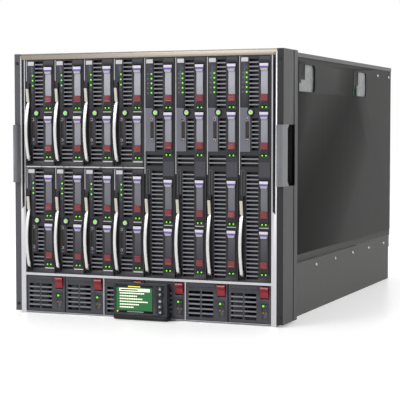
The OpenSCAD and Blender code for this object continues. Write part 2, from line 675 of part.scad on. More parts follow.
// Release lever: a bowed strip, a pierced eye at its foot and a short upper finger.
eye_r = 3.4;
notch_at = 0.8;
lever_steps = 14;
function lever_y(s) = -lever_stand - lever_bow * sin(180 * min(s / notch_at, 1)) - (s > notch_at ? 3.2 * (s - notch_at) / (1 - notch_at) : 0);
function lever_line(s0, s1, back) = [for (i = [0:lever_steps]) let (s = s0 + (s1 - s0) * i / lever_steps)
  [lever_y(s) - (back ? 0 : lever_t), pivot_v + s * lever_len]];
module lever_strip(s0, s1) {
  a = lever_line(s0, s1, false);
  b = lever_line(s0, s1, true);
  polygon(concat(a, [for (i = [lever_steps:-1:0]) b[i]]));
}
module lever() {
  color([0.82, 0.82, 0.83]) difference() {
    union() {
      along_x(lever_u, lever_u + lever_w) {
        lever_strip(0.02, notch_at);
        lever_strip(notch_at, 1);
        translate([pivot_y, pivot_v]) rotate(45) square(2 * eye_r * cos(45), center = true);
        rect([pivot_y - lever_t - 2, pivot_v], [pivot_y, pivot_v + 5]);
      }
    }
    translate([0, pivot_y, pivot_v]) rod_x(lever_u - cut, lever_u + lever_w + cut, pivot_r + run_gap);
    block([lever_u - cut, -lever_stand - 9, pivot_v + notch_at * lever_len - 1.5], [lever_u + 1.6, 0, pivot_v + notch_at * lever_len + 1.5]);
  }
}

// Drive carrier: body, slotted frame with a status window, handle and release button.
frame_t = 1.6;
button_v = [13.4, 23.6];
module carrier_body() {
  color([0.13, 0.13, 0.14]) difference() {
    block([0, -0.5, 0], [carrier_w, 92, carrier_h]);
    block([frame_t + 1, -cut - 0.5, 13], [carrier_w - frame_t - 2, 6, carrier_h - 2]);
    block([frame_t + 2, -cut - 0.5, 1.6], [carrier_w - frame_t - 3, 2, 10]);
    block([carrier_w - 2.4, -cut - 0.5, 4], [carrier_w - 1.2, 3, carrier_h - 4]);
  }
}
carrier_in = frame_t + 1 + seat_gap;
handle_w = carrier_w - 2 * frame_t - 3 - 2 * seat_gap;
hinge_v = carrier_h - 7;
module carrier_handle() {
  color([0.62, 0.62, 0.66]) along_x(carrier_in, carrier_in + handle_w) polygon([
    [3, button_v[1] + 0.4], [3, hinge_v + 3], [0, hinge_v + 2.6], [-1.4, hinge_v + 0.4],
    [-1.6, hinge_v - 4], [0.2, hinge_v - 7], [-0.2, 38], [0.4, button_v[1] + 0.4]]);
}
module carrier_button() {
  color([0.55, 0.16, 0.2]) difference() {
    block([carrier_in, -1.2, button_v[0]], [carrier_in + handle_w, 3.2, button_v[1]]);
    for (k = [0:2]) translate([0, 0, button_v[0] + 2 + k * 2.6]) block([0, -2, 0], [carrier_w, -0.8, 0.8]);
  }
}
module carrier_place(h, t) { translate([bay_u + seat_gap, 0, h - t - carrier_h]) children(); }

// Button guard ring round the power button.
ring_r = button_dia / 2 + 2;
module button_ring() {
  rotate([90, 0, 0]) difference() {
    translate([0, 0, -bezel_t - 3]) cylinder(h = bezel_t + 4.2, r = ring_r);
    translate([0, 0, -3.4]) cylinder(h = 6, r = button_dia / 2 + run_gap * 2);
  }
}
module button_cap() { rotate([90, 0, 0]) translate([0, 0, -2]) cylinder(h = 3.4, r = button_dia / 2); }
module button_place(h) { translate([button_at[0], 0, h - button_at[1]]) children(); }

// Cable connector on the label strip, between two hexagonal screw posts.
module front_connector(h) {
  translate([14.4, -0.8, h - 118]) {
    difference() {
      block([-2.6, -1.6, -13], [2.6, cut / 2, 13]);
      block([-1.4, -2, -11], [1.4, -0.6, 11]);
    }
    for (s = [-1, 1]) translate([0, 0, s * 17]) rotate([90, 0, 0]) cylinder(h = 2.2, r = 2.6, $fn = 6);
  }
}

module server(n, fitted) {
  h = blade_h(n);
  tops = is_full(n) ? full_carrier_top : carrier_top;
  blade_place(n) {
    color([0.2, 0.2, 0.21]) bezel(h, is_full(n) ? full_slots : half_slots, tops);
    color([0.55, 0.55, 0.56]) blade_case(h);
    blade_inside(h);
    color([0.25, 0.25, 0.26]) lever_clevis();
    color([0.66, 0.66, 0.67]) front_connector(h);
    color([0.08, 0.08, 0.08]) button_place(h) button_ring();
    if (fitted) color([0.7, 0.7, 0.7]) button_place(h) button_cap();
    for (i = [0:len(tops) - 1]) if (fitted || i > 0) carrier_place(h, tops[i]) {
      carrier_body();
      carrier_handle();
      carrier_button();
    }
  }
}
module drive_carrier() { blade_place(0) carrier_place(half_h, carrier_top[0]) carrier_body(); }
module drive_handle() { blade_place(0) carrier_place(half_h, carrier_top[0]) carrier_handle(); }
module drive_button() { blade_place(0) carrier_place(half_h, carrier_top[0]) carrier_button(); }
module power_button() { color([0.7, 0.7, 0.7]) blade_place(0) button_place(half_h) button_cap(); }

// ---- Power supplies ----

latch_w = 14;
grille_rows = 6;
module power_supply(i, latched) {
  w = psu_pitch - 1.8;
  translate([psu_x(i) - w / 2, front_y + psu_in, psu_z]) {
    color([0.17, 0.17, 0.18]) {
      difference() {
        block([0, 0, 0], [w, 14, psu_h]);
        block([3, 2.2, 3], [w - 20, 15, psu_h - 3]);
        for (c = [0, 1]) for (r = [0:grille_rows - 1])
          translate([4.5 + c * 23, -cut, 5 + r * 7.6]) cube([20, 4, 4.4]);
        translate([w - latch_w - 4, -cut, psu_h - 22]) cube([latch_w + 1, 8, 21]);
        translate([w - 15.4, -cut, 6]) cube([11, 2, 26]);
      }
      block([4, -0.8, psu_h - 6], [w - 22, cut, psu_h - 2]);
    }
    color([0.55, 0.55, 0.56]) difference() {
      block([0, 14 + film_gap, 0], [w, psu_d, psu_h]);
      block([1.2, 13, 1.2], [w - 1.2, psu_d - 1.2, psu_h - 1.2]);
      for (k = [0:5]) translate([10 + k * 9, psu_d - 3, 14]) cube([6, 5, 8]);
    }
    color([0.12, 0.26, 0.17]) block([2, 30, 1.2], [w - 2, psu_d - 8, 3]);
    color([0.7, 0.7, 0.72]) for (k = [0:2]) translate([8 + k * 20, 60, 3]) cube([4, 320, 44]);
    color([0.1, 0.1, 0.1]) block([w / 2 - 20, psu_d, psu_h / 2 - 8], [w / 2 + 20, psu_d + 3.5, psu_h / 2 + 8]);
    if (latched) latch(w);
  }
}
// Release latch: a tapered thumb piece that swings down about a pin at its foot.
module latch(w) {
  color([0.62, 0.12, 0.18]) translate([w - latch_w - 3.2, 0, psu_h - 20]) difference() {
    along_x(0, latch_w - 0.6) polygon([[0, 0], [5, 0], [5, 15], [2, 18.6], [-3.4, 17.4], [-4.2, 15], [-1.6, 4]]);
    for (z = [9.4, 11.4, 13.4]) translate([-1, 0, 0]) block([0, -9, z], [latch_w + 2, -3.2 + (15 - z) * 0.24, z + 0.8]);
  }
}
module psu_latch() {
  w = psu_pitch - 1.8;
  translate([psu_x(0) - w / 2, front_y + psu_in, psu_z]) latch(w);
}

// ---- Display ----

display_z = 9;
lip_h = 7.6;
tongue_gap = 0.2;
// Carriage: a lip below the panel with a tongue that runs in the sill's groove.
module display_carriage() {
  color([0.1, 0.1, 0.11]) translate([-display_w / 2, front_y, 0]) {
    difference() {
      along_x(0, display_w) polygon([[-front_reach, 3], [-display_reach + 1, 1], [-seat_gap, 1],
        [-seat_gap, display_z - seat_gap], [-front_reach, display_z - seat_gap]]);
      for (s = [0, 1]) translate([s * (display_w - 6), -display_reach - cut, 0]) cube([6, 3, 3]);
    }
    block([4, -seat_gap - cut, groove_z[0] + tongue_gap], [display_w - 4, groove_d - tongue_gap, groove_z[1] - tongue_gap]);
    block([10, -seat_gap - 2.4, display_z - seat_gap - cut], [display_w - 10, -seat_gap, display_z + 26]);
  }
}

// Panel: a moulded frame with a recessed screen, round key pockets and a hollow back.
key_u = display_w / 2 + 35.5;
key_r = 4;
key_pocket = 4.8;
screen_at = [3.6, 3.4];
key_v = [6.5, 15.8, 25, 35.5, 45.5];
module display_panel() {
  translate([-display_w / 2, front_y - display_reach, display_z]) {
    color([0.12, 0.12, 0.13]) difference() {
      along_x(0, display_w) polygon([[0, 0], [display_reach - 3.2, 0], [display_reach - 3.2, display_h - 4],
        [display_reach - 5, display_h], [1, display_h], [0, display_h - 1]]);
      translate([screen_at[0], -cut, screen_at[1]]) cube([screen_w, cut + 1.2, screen_h]);
      block([3, 6, 3], [display_w - 3, display_reach, display_h - 3]);
      translate([key_u, 0, 0]) for (k = [0:4]) translate([0, 0, key_v[k]]) rotate([90, 0, 0]) translate([0, 0, -key_pocket])
        cylinder(h = 8, r = key_r + run_gap * 2);
    }
    color([0.1, 0.35, 0.18]) translate([screen_at[0] + seat_gap, 0.7, screen_at[1] + seat_gap])
      cube([screen_w - 2 * seat_gap, 0.5, screen_h - 2 * seat_gap]);
    color([0.3, 0.3, 0.32]) for (k = [0, 1, 3, 4]) key(k);
  }
}
module key(k) { translate([key_u, 3.2, key_v[k]]) rotate([90, 0, 0]) cylinder(h = 3.8, r = key_r); }
module enter_key() {
  color([0.3, 0.3, 0.32]) translate([-display_w / 2, front_y - display_reach, display_z]) key(2);
}

// ---- Fasteners ----

// Pan-head screws along the walls and the inlet panel, each with a cross recess.
module screw_head() {
  difference() {
    cylinder(h = 1.6, r1 = 3, r2 = 2.4);
    for (a = [0, 90]) rotate(a) translate([-1.8, -0.4, 0.8]) cube([3.6, 0.8, 1]);
  }
}
module screws() {
  color([0.7, 0.7, 0.7]) {
    both_sides() for (k = [0:5]) translate([wall_out, front_y + 120 + k * 118, tub_h - 12]) rotate([0, 90, 0]) screw_head();
    for (s = [-1, 1]) for (z = [12, deck_z - 14]) translate([s * (inner_w / 2 - 12), tub_rear - 2, z])
      rotate([-90, 0, 0]) screw_head();
    both_sides() for (k = [0, 1]) translate([wall_out, rear_y - 20 - k * 90, enclosure_h - 20]) rotate([0, 90, 0]) screw_head();
    both_sides() for (z = [16, enclosure_h - 16]) translate([(ear_in + flange_out) / 2, front_y, z]) rotate([90, 0, 0]) screw_head();
  }
}

base_pan();
left_wall();
right_wall();
top_cover();
power_deck();
bay_dividers();
guide_rails();
midplane_board();
power_backplane();
front_trim();
trim_insets();
ear_left();
ear_right();
rear_cage();
power_inlets();
fan_units();
rear_modules();
screws();
server(0, false);  // server_01
server(1, true);  // server_02
server(2, true);  // server_03
server(3, true);  // server_04
server(4, true);  // server_05
server(5, true);  // server_06
server(6, true);  // server_07
server(7, true);  // server_08
server(8, true);  // server_09
server(9, true);  // server_10
server(10, true);  // server_11
server(11, true);  // server_12
blade_place(0) lever();  // lever_01
blade_place(1) lever();  // lever_02
blade_place(2) lever();  // lever_03
blade_place(3) lever();  // lever_04
blade_place(4) lever();  // lever_05
blade_place(5) lever();  // lever_06
blade_place(6) lever();  // lever_07
blade_place(7) lever();  // lever_08
blade_place(8) lever();  // lever_09
blade_place(9) lever();  // lever_10
blade_place(10) lever();  // lever_11
blade_place(11) lever();  // lever_12
power_supply(0, false);  // power_supply_1
power_supply(1, true);  // power_supply_2
power_supply(2, true);  // power_supply_3
power_supply(3, true);  // power_supply_4
power_supply(4, true);  // power_supply_5
power_supply(5, true);  // power_supply_6
psu_latch();
display_carriage();
display_panel();
enter_key();
fan_module();
fan_rotor();
interconnect_module();
admin_module();
drive_carrier();
drive_handle();
drive_button();
power_button();
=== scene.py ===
"""Dresses the blade server chassis: finishes, small fittings, camera, lamps and floor."""

import logging
import math
from dataclasses import dataclass, field
from enum import Enum
from typing import Callable, Dict, List, Optional, Sequence, Tuple

import bmesh
import bpy
from mathutils import Matrix, Vector


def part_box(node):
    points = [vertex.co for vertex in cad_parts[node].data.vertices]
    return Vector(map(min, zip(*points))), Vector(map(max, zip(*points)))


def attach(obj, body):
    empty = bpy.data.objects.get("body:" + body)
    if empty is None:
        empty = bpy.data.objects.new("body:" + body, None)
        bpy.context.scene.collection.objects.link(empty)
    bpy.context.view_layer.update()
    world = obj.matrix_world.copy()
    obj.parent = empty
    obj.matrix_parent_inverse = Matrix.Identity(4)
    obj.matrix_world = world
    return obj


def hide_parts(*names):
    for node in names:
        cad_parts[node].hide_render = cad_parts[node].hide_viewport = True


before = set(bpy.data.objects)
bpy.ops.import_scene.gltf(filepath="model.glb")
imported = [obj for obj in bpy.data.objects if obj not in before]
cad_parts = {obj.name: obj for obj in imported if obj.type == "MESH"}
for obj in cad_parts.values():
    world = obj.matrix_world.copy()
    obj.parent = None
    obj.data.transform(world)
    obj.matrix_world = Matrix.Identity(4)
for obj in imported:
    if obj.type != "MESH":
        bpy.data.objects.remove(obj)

Point = Tuple[float, float, float]
Socket = bpy.types.NodeSocket

log = logging.getLogger("chassis")
MM = 0.001
FRONT_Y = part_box("front_trim")[0].y / MM
REAR_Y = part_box("rear_cage")[1].y / MM
TOP_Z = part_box("top_cover")[1].z / MM
FACE_Y = FRONT_Y + 1.5


# ---- Finishes ----


def linear(hex_colour: str) -> Tuple[float, float, float, float]:
    """Turns an sRGB hex colour into linear RGBA.

    Args:
        hex_colour: six hex digits with a leading hash.

    Returns:
        Four linear values, the last one 1.
    """
    parts = [int(hex_colour[i:i + 2], 16) / 255 for i in (1, 3, 5)]
    low = [c / 12.92 if c <= 0.04045 else ((c + 0.055) / 1.055) ** 2.4 for c in parts]
    return (low[0], low[1], low[2], 1.0)


def put(
        tree: bpy.types.NodeTree, kind: str, values: Optional[dict] = None, **settings: object) -> bpy.types.Node:
    """Adds one node with its settings and links.

    Args:
        tree: the node tree it joins.
        kind: the node's type name.
        values: input name or index, and the number, colour or output socket it takes.
        settings: the node's own properties.

    Returns:
        The new node.
    """
    node = tree.nodes.new(kind)
    for key, value in settings.items():
        setattr(node, key, value)
    for key, value in (values or {}).items():
        if isinstance(value, Socket):
            tree.links.new(value, node.inputs[key])
        else:
            node.inputs[key].default_value = value
    return node


@dataclass(frozen=True)
class Finish:
    """A finish with one colour, a little mottle and a fine surface grain.

    The mottle keeps large faces from looking flat, and the grain breaks up the gloss.
    """

    name: str
    colour: str
    roughness: float = 0.5
    metallic: float = 0.0
    grain_mm: float = 0.8
    grain_depth: float = 0.02
    mottle: float = 0.06
    mottle_mm: float = 40.0
    coat: float = 0.0
    specular: float = 0.5

    def pattern(self, tree: bpy.types.NodeTree, place: Socket) -> Socket:
        """Makes the colour of the surface.

        Args:
            tree: the material's node tree.
            place: object coordinates in metres.

        Returns:
            The colour socket.
        """
        noise = put(
            tree, "ShaderNodeTexNoise",
            {"Vector": place, "Scale": 1 / (self.mottle_mm * MM), "Detail": 4.0})
        return self.shade(tree, noise.outputs["Fac"], self.colour, self.mottle)

    def shade(self, tree: bpy.types.NodeTree, fac: Socket, colour: str, amount: float) -> Socket:
        """Varies a colour a little in value.

        Args:
            tree: the material's node tree.
            fac: a value from 0 to 1 that drives the change.
            colour: the sRGB hex colour in the middle of the range.
            amount: the share by which it changes each way.

        Returns:
            The colour socket.
        """
        base = linear(colour)
        dark = tuple(c * (1 - amount * 2) for c in base[:3]) + (1.0,)
        pale = tuple(min(1.0, c * (1 + amount * 2)) for c in base[:3]) + (1.0,)
        return put(tree, "ShaderNodeMix", {0: fac, 6: dark, 7: pale}, data_type="RGBA").outputs[2]

    def relief(self, tree: bpy.types.NodeTree, place: Socket) -> Socket:
        """Makes the height of the surface grain.

        Args:
            tree: the material's node tree.
            place: object coordinates in metres.

        Returns:
            The height socket.
        """
        return put(
            tree, "ShaderNodeTexNoise",
            {"Vector": place, "Scale": 1 / (self.grain_mm * MM), "Detail": 2.0}).outputs["Fac"]

    def extra(self, tree: bpy.types.NodeTree, shader: bpy.types.Node, place: Socket) -> None:
        """Adds what a special finish needs on the shader itself."""

    def material(self) -> bpy.types.Material:
        """Returns the Blender material, made on first use."""
        made = bpy.data.materials.get(self.name)
        if made:
            return made
        made = bpy.data.materials.new(self.name)
        made.use_nodes = True
        tree = made.node_tree
        tree.nodes.clear()
        place = put(tree, "ShaderNodeTexCoord").outputs["Object"]
        bump = put(
            tree, "ShaderNodeBump",
            {"Height": self.relief(tree, place), "Strength": 0.6, "Distance": self.grain_depth * MM * 10})
        shader = put(tree, "ShaderNodeBsdfPrincipled", {
            "Base Color": self.pattern(tree, place), "Roughness": self.roughness, "Metallic": self.metallic,
            "Coat Weight": self.coat, "Coat Roughness": 0.15, "Specular IOR Level": self.specular, "Normal": bump.outputs["Normal"]})
        self.extra(tree, shader, place)
        put(tree, "ShaderNodeOutputMaterial", {"Surface": shader.outputs["BSDF"]})
        return made


@dataclass(frozen=True)
class StreakedPaint(Finish):
    """Baked powder coat on rolled sheet: faint upright bands show in its sheen."""

    band_mm: float = 9.0
    band: float = 0.12

    def pattern(self, tree: bpy.types.NodeTree, place: Socket) -> Socket:
        """Returns a colour with faint upright bands."""
        wide = put(
            tree, "ShaderNodeMapping",
            {"Vector": place, "Scale": (1 / (self.band_mm * MM), 1 / (self.band_mm * MM), 0.6)})
        noise = put(tree, "ShaderNodeTexNoise", {"Vector": wide.outputs[0], "Scale": 1.0, "Detail": 3.0})
        return self.shade(tree, noise.outputs["Fac"], self.colour, self.band)


@dataclass(frozen=True)
class BrushedSheet(Finish):
    """Sheet brushed in one direction: fine lines that spread the light across them."""

    along: int = 0
    line_mm: float = 0.35

    def lines(self, tree: bpy.types.NodeTree, place: Socket) -> Socket:
        """Returns a value that changes fast across the brushing and slowly along it."""
        scale = [1 / (self.line_mm * MM)] * 3
        scale[self.along] = 14.0
        wide = put(tree, "ShaderNodeMapping", {"Vector": place, "Scale": tuple(scale)})
        return put(
            tree, "ShaderNodeTexNoise", {"Vector": wide.outputs[0], "Scale": 1.0, "Detail": 2.0}).outputs["Fac"]

    def pattern(self, tree: bpy.types.NodeTree, place: Socket) -> Socket:
        """Returns the colour with its brush lines."""
        return self.shade(tree, self.lines(tree, place), self.colour, self.mottle)

    def relief(self, tree: bpy.types.NodeTree, place: Socket) -> Socket:
        """Returns the height of the brush lines."""
        return self.lines(tree, place)


@dataclass(frozen=True)
class SpangledZinc(Finish):
    """Hot-dip galvanised sheet: flat crystals of a few millimetres, each a little different."""

    spangle_mm: float = 7.0

    def pattern(self, tree: bpy.types.NodeTree, place: Socket) -> Socket:
        """Returns the colour of the zinc crystals."""
        cells = put(tree, "ShaderNodeTexVoronoi", {"Vector": place, "Scale": 1 / (self.spangle_mm * MM)})
        grey = put(tree, "ShaderNodeRGBToBW", {"Color": cells.outputs["Color"]})
        return self.shade(tree, grey.outputs[0], self.colour, self.mottle)


@dataclass(frozen=True)
class HeightShadedLacquer(Finish):
    """Metallic lacquer with painted shade: a pale tone at the top that darkens to a dark one at the foot, as if lit
    from above.
    """

    shaded_foot_colour: str = "#2c2c33"
    low_mm: float = 90.0
    high_mm: float = 420.0

    def pattern(self, tree: bpy.types.NodeTree, place: Socket) -> Socket:
        """Returns the colour by height, darker lower down as painted shade."""
        axes = put(tree, "ShaderNodeSeparateXYZ", {"Vector": place})
        height = put(tree, "ShaderNodeMapRange", {
            "Value": axes.outputs["Z"], "From Min": self.low_mm * MM, "From Max": self.high_mm * MM})
        return put(tree, "ShaderNodeMix", {
            0: height.outputs[0], 6: linear(self.shaded_foot_colour), 7: linear(self.colour)}, data_type="RGBA").outputs[2]


@dataclass(frozen=True)
class Lamp(Finish):
    """Clear lens over a light-emitting diode: it glows, and its dome keeps a highlight."""

    glow: float = 0.8

    def extra(self, tree: bpy.types.NodeTree, shader: bpy.types.Node, place: Socket) -> None:
        """Sets the glow on the shader's own sockets."""
        shader.inputs["Emission Color"].default_value = linear(self.colour)
        shader.inputs["Emission Strength"].default_value = self.glow


@dataclass(frozen=True)
class SolderMask(Finish):
    """Glass-epoxy board under green lacquer: straight copper tracks show faintly through it."""

    track_mm: float = 3.0

    def pattern(self, tree: bpy.types.NodeTree, place: Socket) -> Socket:
        """Returns the lacquer colour with its tracks."""
        cells = put(tree, "ShaderNodeTexVoronoi", {
            "Vector": place, "Scale": 1 / (self.track_mm * MM)}, distance="CHEBYCHEV")
        return self.shade(tree, cells.outputs["Distance"], self.colour, 0.3)


class Kit:
    """Every finish on the object, named for its real material."""

    # Satin aluminium extrusion, near white under studio light, with soft upright brushing.
    silver = BrushedSheet("satin_aluminium", "#d4d4d8", 0.32, 0.55, mottle=0.03, along=2, grain_depth=0.003)
    # Champagne anodised aluminium on the head: warmer than the posts, brushed from side to side.
    head = BrushedSheet(
        "champagne_anodised_aluminium", "#948b81", 0.36, 0.6, mottle=0.05, along=0, grain_depth=0.003)
    # Black gloss ABS strips in the posts: they read as deep slots beside the silver.
    inset = Finish("gloss_black_abs", "#0b0b0d", 0.22, grain_depth=0.004)
    # Spark-textured ABS of the blade bezels: dark grey with a soft, even sheen.
    bezel = Finish("textured_grey_abs", "#1f1f24", 0.48, grain_mm=0.7, grain_depth=0.01)
    # The same ABS on the label strip, a shade paler so that the strip stands out.
    strip = Finish("textured_slate_abs", "#3c3c45", 0.46, grain_mm=0.7, grain_depth=0.01)
    # Paler slate ABS of the panel on the full-height blades.
    panel = Finish("smooth_slate_abs", "#6e6e79", 0.42, grain_mm=0.7, grain_depth=0.008)
    # Rib fronts of the vents and bars of the supply grille, painted a pale satin as a highlight on their fronts.
    rib_highlight = Finish("rib_abs_painted_highlight", "#878792", 0.4, grain_depth=0.006)
    # Charcoal ABS of the drive carriers and recesses.
    carrier = Finish("charcoal_abs", "#131317", 0.46, grain_depth=0.01)
    # Black polycarbonate, also used as painted shade in deep recesses and behind the vents, where almost no light comes
    # back.
    dark = Finish("black_polycarbonate_and_painted_shade", "#08080a", 0.5, grain_depth=0.006)
    # Metallic lacquer on the carriers' ejector bars, with painted shade that makes the lower bars darker.
    bar = HeightShadedLacquer("metallic_lacquer_shaded_by_height", "#b4b4be", 0.3, 0.35, shaded_foot_colour="#33333b", grain_depth=0.004)
    # Gloss top of the carriers' caps, painted white as a highlight where the rounded top faces the light.
    cap = Finish("cap_top_painted_highlight", "#e6e4ee", 0.28, mottle=0.02, grain_depth=0.003)
    # Violet print band under the cap.
    violet = Finish("violet_ink", "#7d5fb2", 0.35, mottle=0.05, grain_depth=0.003)
    # Burgundy PC/ABS of the touch points.
    burgundy = Finish("burgundy_abs", "#8d3340", 0.36, grain_depth=0.006, coat=0.15)
    crimson = Finish("crimson_abs", "#98182b", 0.34, grain_depth=0.006, coat=0.2)
    # Bare label plates: matt white polyester film.
    label = Finish("white_polyester_film", "#cfcfd3", 0.5, mottle=0.02, grain_depth=0.002)
    # Diodes behind clear lenses.
    green = Lamp("green_diode_lens", "#6fe01c", 0.25, glow=0.75)
    amber = Lamp("amber_diode_lens", "#c08a20", 0.25, glow=0.25)
    unlit = Finish("unlit_diode_lens", "#6d6d74", 0.25, grain_depth=0.002)
    # Bright zinc-plated steel of screw posts, rings and connector shells.
    plated = Finish("zinc_plated_steel", "#cdcdd0", 0.25, 0.9, mottle=0.03, grain_depth=0.002)
    # Cast aluminium lever under clear lacquer: almost white where it faces the light.
    lever = Finish("polished_cast_aluminium", "#e9e8e6", 0.26, 0.35, mottle=0.02, grain_depth=0.003)
    # The lever's finger piece is left as cast: duller and a little warmer than the bowed strip.
    finger = Finish("tumbled_cast_aluminium", "#d6d0c4", 0.42, 0.25, mottle=0.05, grain_depth=0.006)
    # Pale satin metal of the drive handles' lip and the bar between the drives, also painted as a highlight down the
    # left edge of a blade's face.
    silver_trim_and_edge_highlight = BrushedSheet(
        "pale_anodised_and_edge_highlight", "#b5b5ba", 0.38, 0.4, mottle=0.03, along=2, grain_depth=0.003)
    # Brown phenolic insert of the cable connector.
    contact = Finish("brown_phenolic", "#2e2620", 0.4, grain_depth=0.004)
    # Powder-coated sheet of the upper body: near black, with faint upright bands.
    wall = StreakedPaint(
        "black_powder_coat", "#2a2a29", 0.6, specular=0.25, grain_mm=0.9, grain_depth=0.006)
    # The lower tub's coat is a clear step paler than the walls.
    tub = StreakedPaint(
        "grey_powder_coat", "#5e5e5d", 0.58, specular=0.3, grain_mm=0.9, grain_depth=0.006, band=0.05)
    foot = StreakedPaint(
        "graphite_powder_coat", "#4a4a48", 0.58, specular=0.3, grain_mm=0.9, grain_depth=0.006, band=0.05)
    cover = StreakedPaint("slate_powder_coat", "#5a5c5b", 0.42, grain_mm=0.9, grain_depth=0.006, band=0.05)
    # Ear sheet: satin dark grey at the side. The narrow front is painted as light and shade: black as painted shade on
    # the right ear, paler slate as painted light on the left ear. The same black also coats the front screws and the
    # display carriage.
    ear = Finish("satin_grey_powder_coat", "#343436", 0.4, grain_mm=0.9, grain_depth=0.006)
    black_and_ear_shade = Finish("satin_black_coat_and_ear_shade", "#141416", 0.38, grain_mm=0.9, grain_depth=0.006)
    ear_painted_light = Finish("satin_slate_painted_light", "#505055", 0.42, grain_mm=0.9, grain_depth=0.006)
    grip = Finish("soft_grey_lacquer", "#7d7d82", 0.34, 0.15, grain_depth=0.004)
    # Power supply face: slate ABS, and its sheet case.
    supply = Finish("textured_graphite_abs", "#3f3f46", 0.46, grain_mm=0.7, grain_depth=0.01)
    zinc = SpangledZinc("galvanised_sheet", "#9a9b9c", 0.42, 0.8, mottle=0.1, grain_depth=0.004)
    board = SolderMask("green_solder_mask", "#1d5a34", 0.35, grain_depth=0.004)
    copper = BrushedSheet("bare_copper_bar", "#b87348", 0.3, 0.95, mottle=0.06, along=0, grain_depth=0.003)
    fins = BrushedSheet(
        "extruded_aluminium_fins", "#b9babd", 0.35, 0.9, mottle=0.05, along=1, grain_depth=0.003)
    plug = Finish("black_glass_filled_nylon", "#16161a", 0.55, grain_depth=0.01)
    # Display: midnight ABS around a lit screen.
    bezel_blue = Finish("midnight_abs", "#24252c", 0.4, grain_depth=0.006)
    key = Finish("grey_silicone_key", "#33343b", 0.55, grain_depth=0.006)
    page = Lamp("green_screen_page", "#1c6030", 0.3, glow=0.45)
    title = Lamp("black_screen_band", "#10140f", 0.3, glow=0.1)
    yellow = Lamp("yellow_screen_bar", "#d8d045", 0.3, glow=0.7)
    pale_row = Lamp("pale_screen_bar", "#f4f4dc", 0.3, glow=0.8)
    ink = Finish("white_print", "#b9bac0", 0.45, mottle=0.02, grain_depth=0.002)
    module = Finish("grey_module_paint", "#6a6b6d", 0.42, 0.2, grain_depth=0.006)
    fan_abs = Finish("black_fan_pbt", "#1c1c1f", 0.5, grain_depth=0.01)
    rotor = Finish("graphite_fan_pbt", "#3a3a3e", 0.45, grain_depth=0.01)


# ---- Mesh work ----

Rule = Callable[[Vector, Vector, Vector, Vector], Finish]


def settle(mesh: bpy.types.Mesh, name: str, body: str, *stands_for: str) -> bpy.types.Object:
    """Makes a mesh a piece of the object.

    Args:
        mesh: the finished mesh, in metres, in its place.
        name: the piece's name.
        body: the body it rides on.
        stands_for: CAD nodes that it replaces.

    Returns:
        The new object.
    """
    mesh.shade_smooth()
    mesh.set_sharp_from_angle(angle=math.radians(32))
    piece = bpy.data.objects.new(name, mesh)
    bpy.context.scene.collection.objects.link(piece)
    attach(piece, body)
    if stands_for:
        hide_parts(*stands_for)
    return piece


@dataclass
class NodeSkin:
    """A copy of one CAD node's surface with a finish chosen for each of its solids and faces."""

    node: str
    body: str
    rule: Rule

    def build(self) -> bpy.types.Object:
        """Copies, merges and paints the node.

        Returns:
            The piece that stands for the node.
        """
        work = bmesh.new()
        work.from_mesh(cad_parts[self.node].data)
        bmesh.ops.remove_doubles(work, verts=work.verts, dist=1e-6)
        finishes: List[Finish] = []
        for island in self.islands(work):
            points = [v.co for f in island for v in f.verts]
            lo = Vector([min(p[i] for p in points) / MM for i in range(3)])
            hi = Vector([max(p[i] for p in points) / MM for i in range(3)])
            for face in island:
                finish = self.rule(face.calc_center_median() / MM, face.normal, lo, hi)
                if finish not in finishes:
                    finishes.append(finish)
                face.material_index = finishes.index(finish)
        mesh = bpy.data.meshes.new(self.node + "_skin")
        work.to_mesh(mesh)
        work.free()
        for finish in finishes:
            mesh.materials.append(finish.material())
        piece = settle(mesh, self.node + "_skin", self.body, self.node)
        return piece

    @staticmethod
    def islands(work: bmesh.types.BMesh) -> List[List[bmesh.types.BMFace]]:
        """Groups the faces of a mesh into its separate solids."""
        left = set(work.faces)
        groups: List[List[bmesh.types.BMFace]] = []
        while left:
            stack = [left.pop()]
            group = []
            while stack:
                face = stack.pop()
                group.append(face)
                for edge in face.edges:
                    for near in edge.link_faces:
                        if near in left:
                            left.remove(near)
                            stack.append(near)
            groups.append(sorted(group, key=lambda f: f.index))
        return groups


